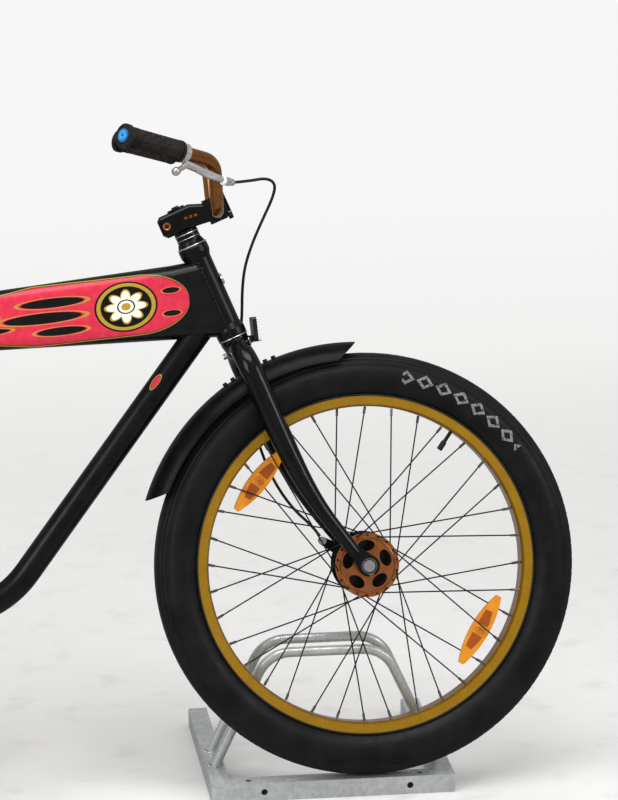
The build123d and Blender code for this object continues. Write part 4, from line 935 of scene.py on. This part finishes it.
# Rack: weld beads round the hoops' feet, which slope where they meet the channel
HOOP_RADIUS = 0.0085
HOOP_SPACING = 0.070
FOOT_OUT = 0.191
FOOT_RISE = 0.0328
welds = Trim()
front_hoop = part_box("rack_hoops")[0][1] + HOOP_RADIUS
for y in (front_hoop, front_hoop + HOOP_SPACING):
    for side in (-1, 1):
        path = []
        for k in range(61):
            a = 2 * math.pi * k / 60
            x = side * FOOT_OUT + 0.0108 * math.cos(a)
            path.append(Vector((x, y + 0.0098 * math.sin(a), FOOT_RISE)))
        welds.bead(path, 0.0018, 0.25, 18)
welds.make("rack_welds", GALVANISED, "front_end")

# Bolts of the cranks
cranks = Trim()
for side in (-1, 1):
    place = (-WHEELBASE + CRANK_AHEAD_OF_REAR, side * CRANK_FACE, -CRANK_DROP)
    cranks.bolt(on(BIKE, place, (0, side, 0)), 0.007, 0.002)
cranks.make("crank_bolts", ALUMINIUM, "crank")

# Cable from the lever to the drum brake, in the frame of the steering axis
CABLE_ROUTE = [
    (0.122, -0.104, HEAD_START + 0.228),
    (0.151, -0.084, HEAD_START + 0.221),
    (0.163, -0.068, HEAD_START + 0.206),
    (0.152, -0.050, HEAD_START + 0.187),
    (0.124, -0.027, HEAD_START + 0.160),
    (0.095, -0.004, HEAD_START + 0.131),
    (0.068, 0.019, HEAD_START + 0.098),
    (0.049, 0.037, HEAD_START + 0.061),
    (0.034, 0.058, HEAD_START + 0.022),
    (0.014, 0.079, HEAD_START - 0.018),
    (-0.004, 0.090, CROWN - 0.042),
    (-0.015, 0.089, CROWN - 0.098),
    (-0.027, 0.084, CROWN * 0.60),
    (-0.031, 0.075, CROWN * 0.44),
    (-0.022, 0.066, CROWN * 0.29),
    (-0.001, 0.059, 0.066),
    (0.001, 0.053, 0.050),
]
start = COCKPIT @ barrel_end + BIKE.to_3x3() @ Vector((0.001, 0.0006, 0))
route = [start] + [STEERING @ Vector(p) for p in CABLE_ROUTE]
line = bpy.data.curves.new("cable_line", "CURVE")
line.dimensions = "3D"
line.bevel_depth = 0.0025
line.bevel_resolution = 3
line.resolution_u = 12
line.use_fill_caps = True
spline = line.splines.new("NURBS")
spline.points.add(len(route) - 1)
for point, place in zip(spline.points, route):
    point.co = (place.x, place.y, place.z, 1.0)
spline.order_u = 3
spline.use_endpoint_u = True
line.materials.append(PLASTIC)
cable = placed("brake_cable_smooth", line)
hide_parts("brake_cable")
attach(cable, "front_end")


def apply_modifier(made, name, kind, **settings):
    modifier = made.modifiers.new(name, kind)
    for setting, value in settings.items():
        setattr(modifier, setting, value)
    bpy.ops.object.modifier_apply(modifier=modifier.name)


def swell(pad, pressure=4.0, frames=20, furthest=0.004):
    """Lets air pressure push the cover out as cloth, but no point further than the last value."""
    before = [v.co.copy() for v in pad.data.vertices]
    cloth = pad.modifiers.new("cloth", "CLOTH")
    cloth.settings.use_pressure = True
    cloth.settings.uniform_pressure_force = pressure
    cloth.settings.effector_weights.gravity = 0.0
    for number in range(1, frames + 1):
        bpy.context.scene.frame_set(number)
    shaped = pad.evaluated_get(bpy.context.evaluated_depsgraph_get())
    after = [v.co.copy() for v in shaped.data.vertices]
    pad.modifiers.remove(cloth)
    bpy.context.scene.frame_set(1)
    for vertex, old, new in zip(pad.data.vertices, before, after):
        step = new - old
        if step.length > furthest:
            step *= furthest / step.length
        vertex.co = old + step


def padded_saddle():
    """The saddle as a stuffed cover, swelled by a short cloth simulation and smoothed."""
    mesh = nodes["saddle"].data.copy()
    mesh.name = "saddle_cover"
    pad = placed("saddle_cover", mesh)
    bpy.ops.object.select_all(action="DESELECT")
    pad.select_set(True)
    bpy.context.view_layer.objects.active = pad
    apply_modifier(pad, "remesh", "REMESH", mode="VOXEL", voxel_size=0.005)
    swell(pad)
    apply_modifier(pad, "smooth", "SMOOTH", iterations=6)
    apply_modifier(pad, "finer", "SUBSURF", levels=1, render_levels=1)
    for polygon in pad.data.polygons:
        polygon.use_smooth = True
    pad.data.materials.clear()
    pad.data.materials.append(LEATHER)
    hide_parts("saddle")
    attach(pad, "frame")


padded_saddle()


def studio_floor():
    """Pale, scuffed floor that fades into a white studio sweep behind the object."""
    g = Graph("studio_floor")
    y = g.local(Matrix.Identity(4))[1]
    marks = g.spread(g.noise(13.0, 8.0), 0.56, 0.72, 0.0, 0.5)
    streaks = g.spread(g.noise(2.6, 6.0), 0.45, 0.7, 0.0, 0.25)
    base = g.mix(marks, rgb(0.78, 0.775, 0.765), rgb(0.60, 0.59, 0.575))
    colour = g.mix(streaks, base, rgb(0.68, 0.665, 0.64))
    mirrored = g.mix(0.6, colour, rgb(0.0, 0.0, 0.0))
    seen = g.node("LightPath")
    g.give("Base Color", g.mix(seen.outputs["Is Glossy Ray"], colour, mirrored))
    g.rough(20.0, 0.4, 0.6)
    glow = g.node("Emission")
    glow.inputs["Strength"].default_value = 1.0
    g.put(glow.inputs["Color"], g.mix(g.rising(y, 0.8, 5.0), rgb(0.82, 0.815, 0.80), rgb(0.93, 0.93, 0.93)))
    blend = g.node("MixShader")
    g.put(blend.inputs[0], g.times(seen.outputs["Is Camera Ray"], g.rising(y, 0.5, 3.0)))
    g.put(blend.inputs[1], g.shader.outputs[0])
    g.put(blend.inputs[2], glow.outputs[0])
    g.put(g.tree.nodes["Material Output"].inputs["Surface"], blend.outputs[0])
    return g.material


FLOOR_HALF = 20
sheet = bpy.data.meshes.new("floor")
corners = [(sx * FLOOR_HALF, sy * FLOOR_HALF, 0) for sx, sy in ((-1, -1), (1, -1), (1, 1), (-1, 1))]
sheet.from_pydata(corners, [], [(0, 1, 2, 3)])
sheet.materials.append(studio_floor())
floor = placed("floor", sheet)

# White surroundings: one strength for the camera, one for mirrored rays, one for the light itself
SEEN_STRENGTH = 0.93
GLOSSY_STRENGTH = 0.34
LIGHT_STRENGTH = 0.72
world = bpy.data.worlds.new("studio")
bpy.context.scene.world = world
world.use_nodes = True
tree = world.node_tree
background = tree.nodes["Background"]
ray = tree.nodes.new("ShaderNodeLightPath")
glossy = tree.nodes.new("ShaderNodeMapRange")
glossy.inputs["To Min"].default_value = LIGHT_STRENGTH
glossy.inputs["To Max"].default_value = GLOSSY_STRENGTH
tree.links.new(ray.outputs["Is Glossy Ray"], glossy.inputs["Value"])
strength = tree.nodes.new("ShaderNodeMix")
strength.data_type = "FLOAT"
strength.inputs[3].default_value = SEEN_STRENGTH
tree.links.new(ray.outputs["Is Camera Ray"], strength.inputs[0])
tree.links.new(glossy.outputs[0], strength.inputs[2])
tree.links.new(strength.outputs[0], background.inputs["Strength"])
background.inputs["Color"].default_value = rgb(1.0, 1.0, 1.0)


def softbox(name, place, target, size, power):
    light = bpy.data.lights.new(name, "AREA")
    light.shape = "RECTANGLE"
    light.size, light.size_y = size
    light.energy = power
    made = placed(name, light)
    made.location = place
    made.rotation_euler = (Vector(target) - Vector(place)).to_track_quat("-Z", "Y").to_euler()


softbox("softbox_top", (-0.4, -0.6, 3.2), (-0.2, 0.0, 0.4), (2.6, 1.6), 60)
softbox("softbox_left", (-3.0, -2.2, 2.0), (-0.2, 0.0, 0.5), (1.4, 2.0), 40)
softbox("softbox_right", (2.8, -1.6, 2.2), (0.0, 0.0, 0.5), (1.2, 1.8), 30)

# Camera, fitted to the photo, which is 800 pixels high
TILT = math.radians(14.8)
YAW = math.radians(7.7)
EYE = (-0.7945, -5.562, 2.1771)
FOCAL_PIXELS = 3554.0
PHOTO_PIXELS = 800.0
SENSOR = 36.0
ahead = Vector((math.sin(YAW) * math.cos(TILT), math.cos(YAW) * math.cos(TILT), -math.sin(TILT)))
right = Vector((math.cos(YAW), -math.sin(YAW), 0.0))
look = Matrix((right, right.cross(ahead), -ahead)).transposed().to_4x4()
camera = placed("camera", bpy.data.cameras.new("camera"))
camera.matrix_world = Matrix.Translation(EYE) @ look
camera.data.sensor_width = SENSOR
camera.data.lens = FOCAL_PIXELS * SENSOR / PHOTO_PIXELS
camera.data.clip_end = 100.0
bpy.context.scene.camera = camera
bpy.context.scene.view_settings.view_transform = "Standard"
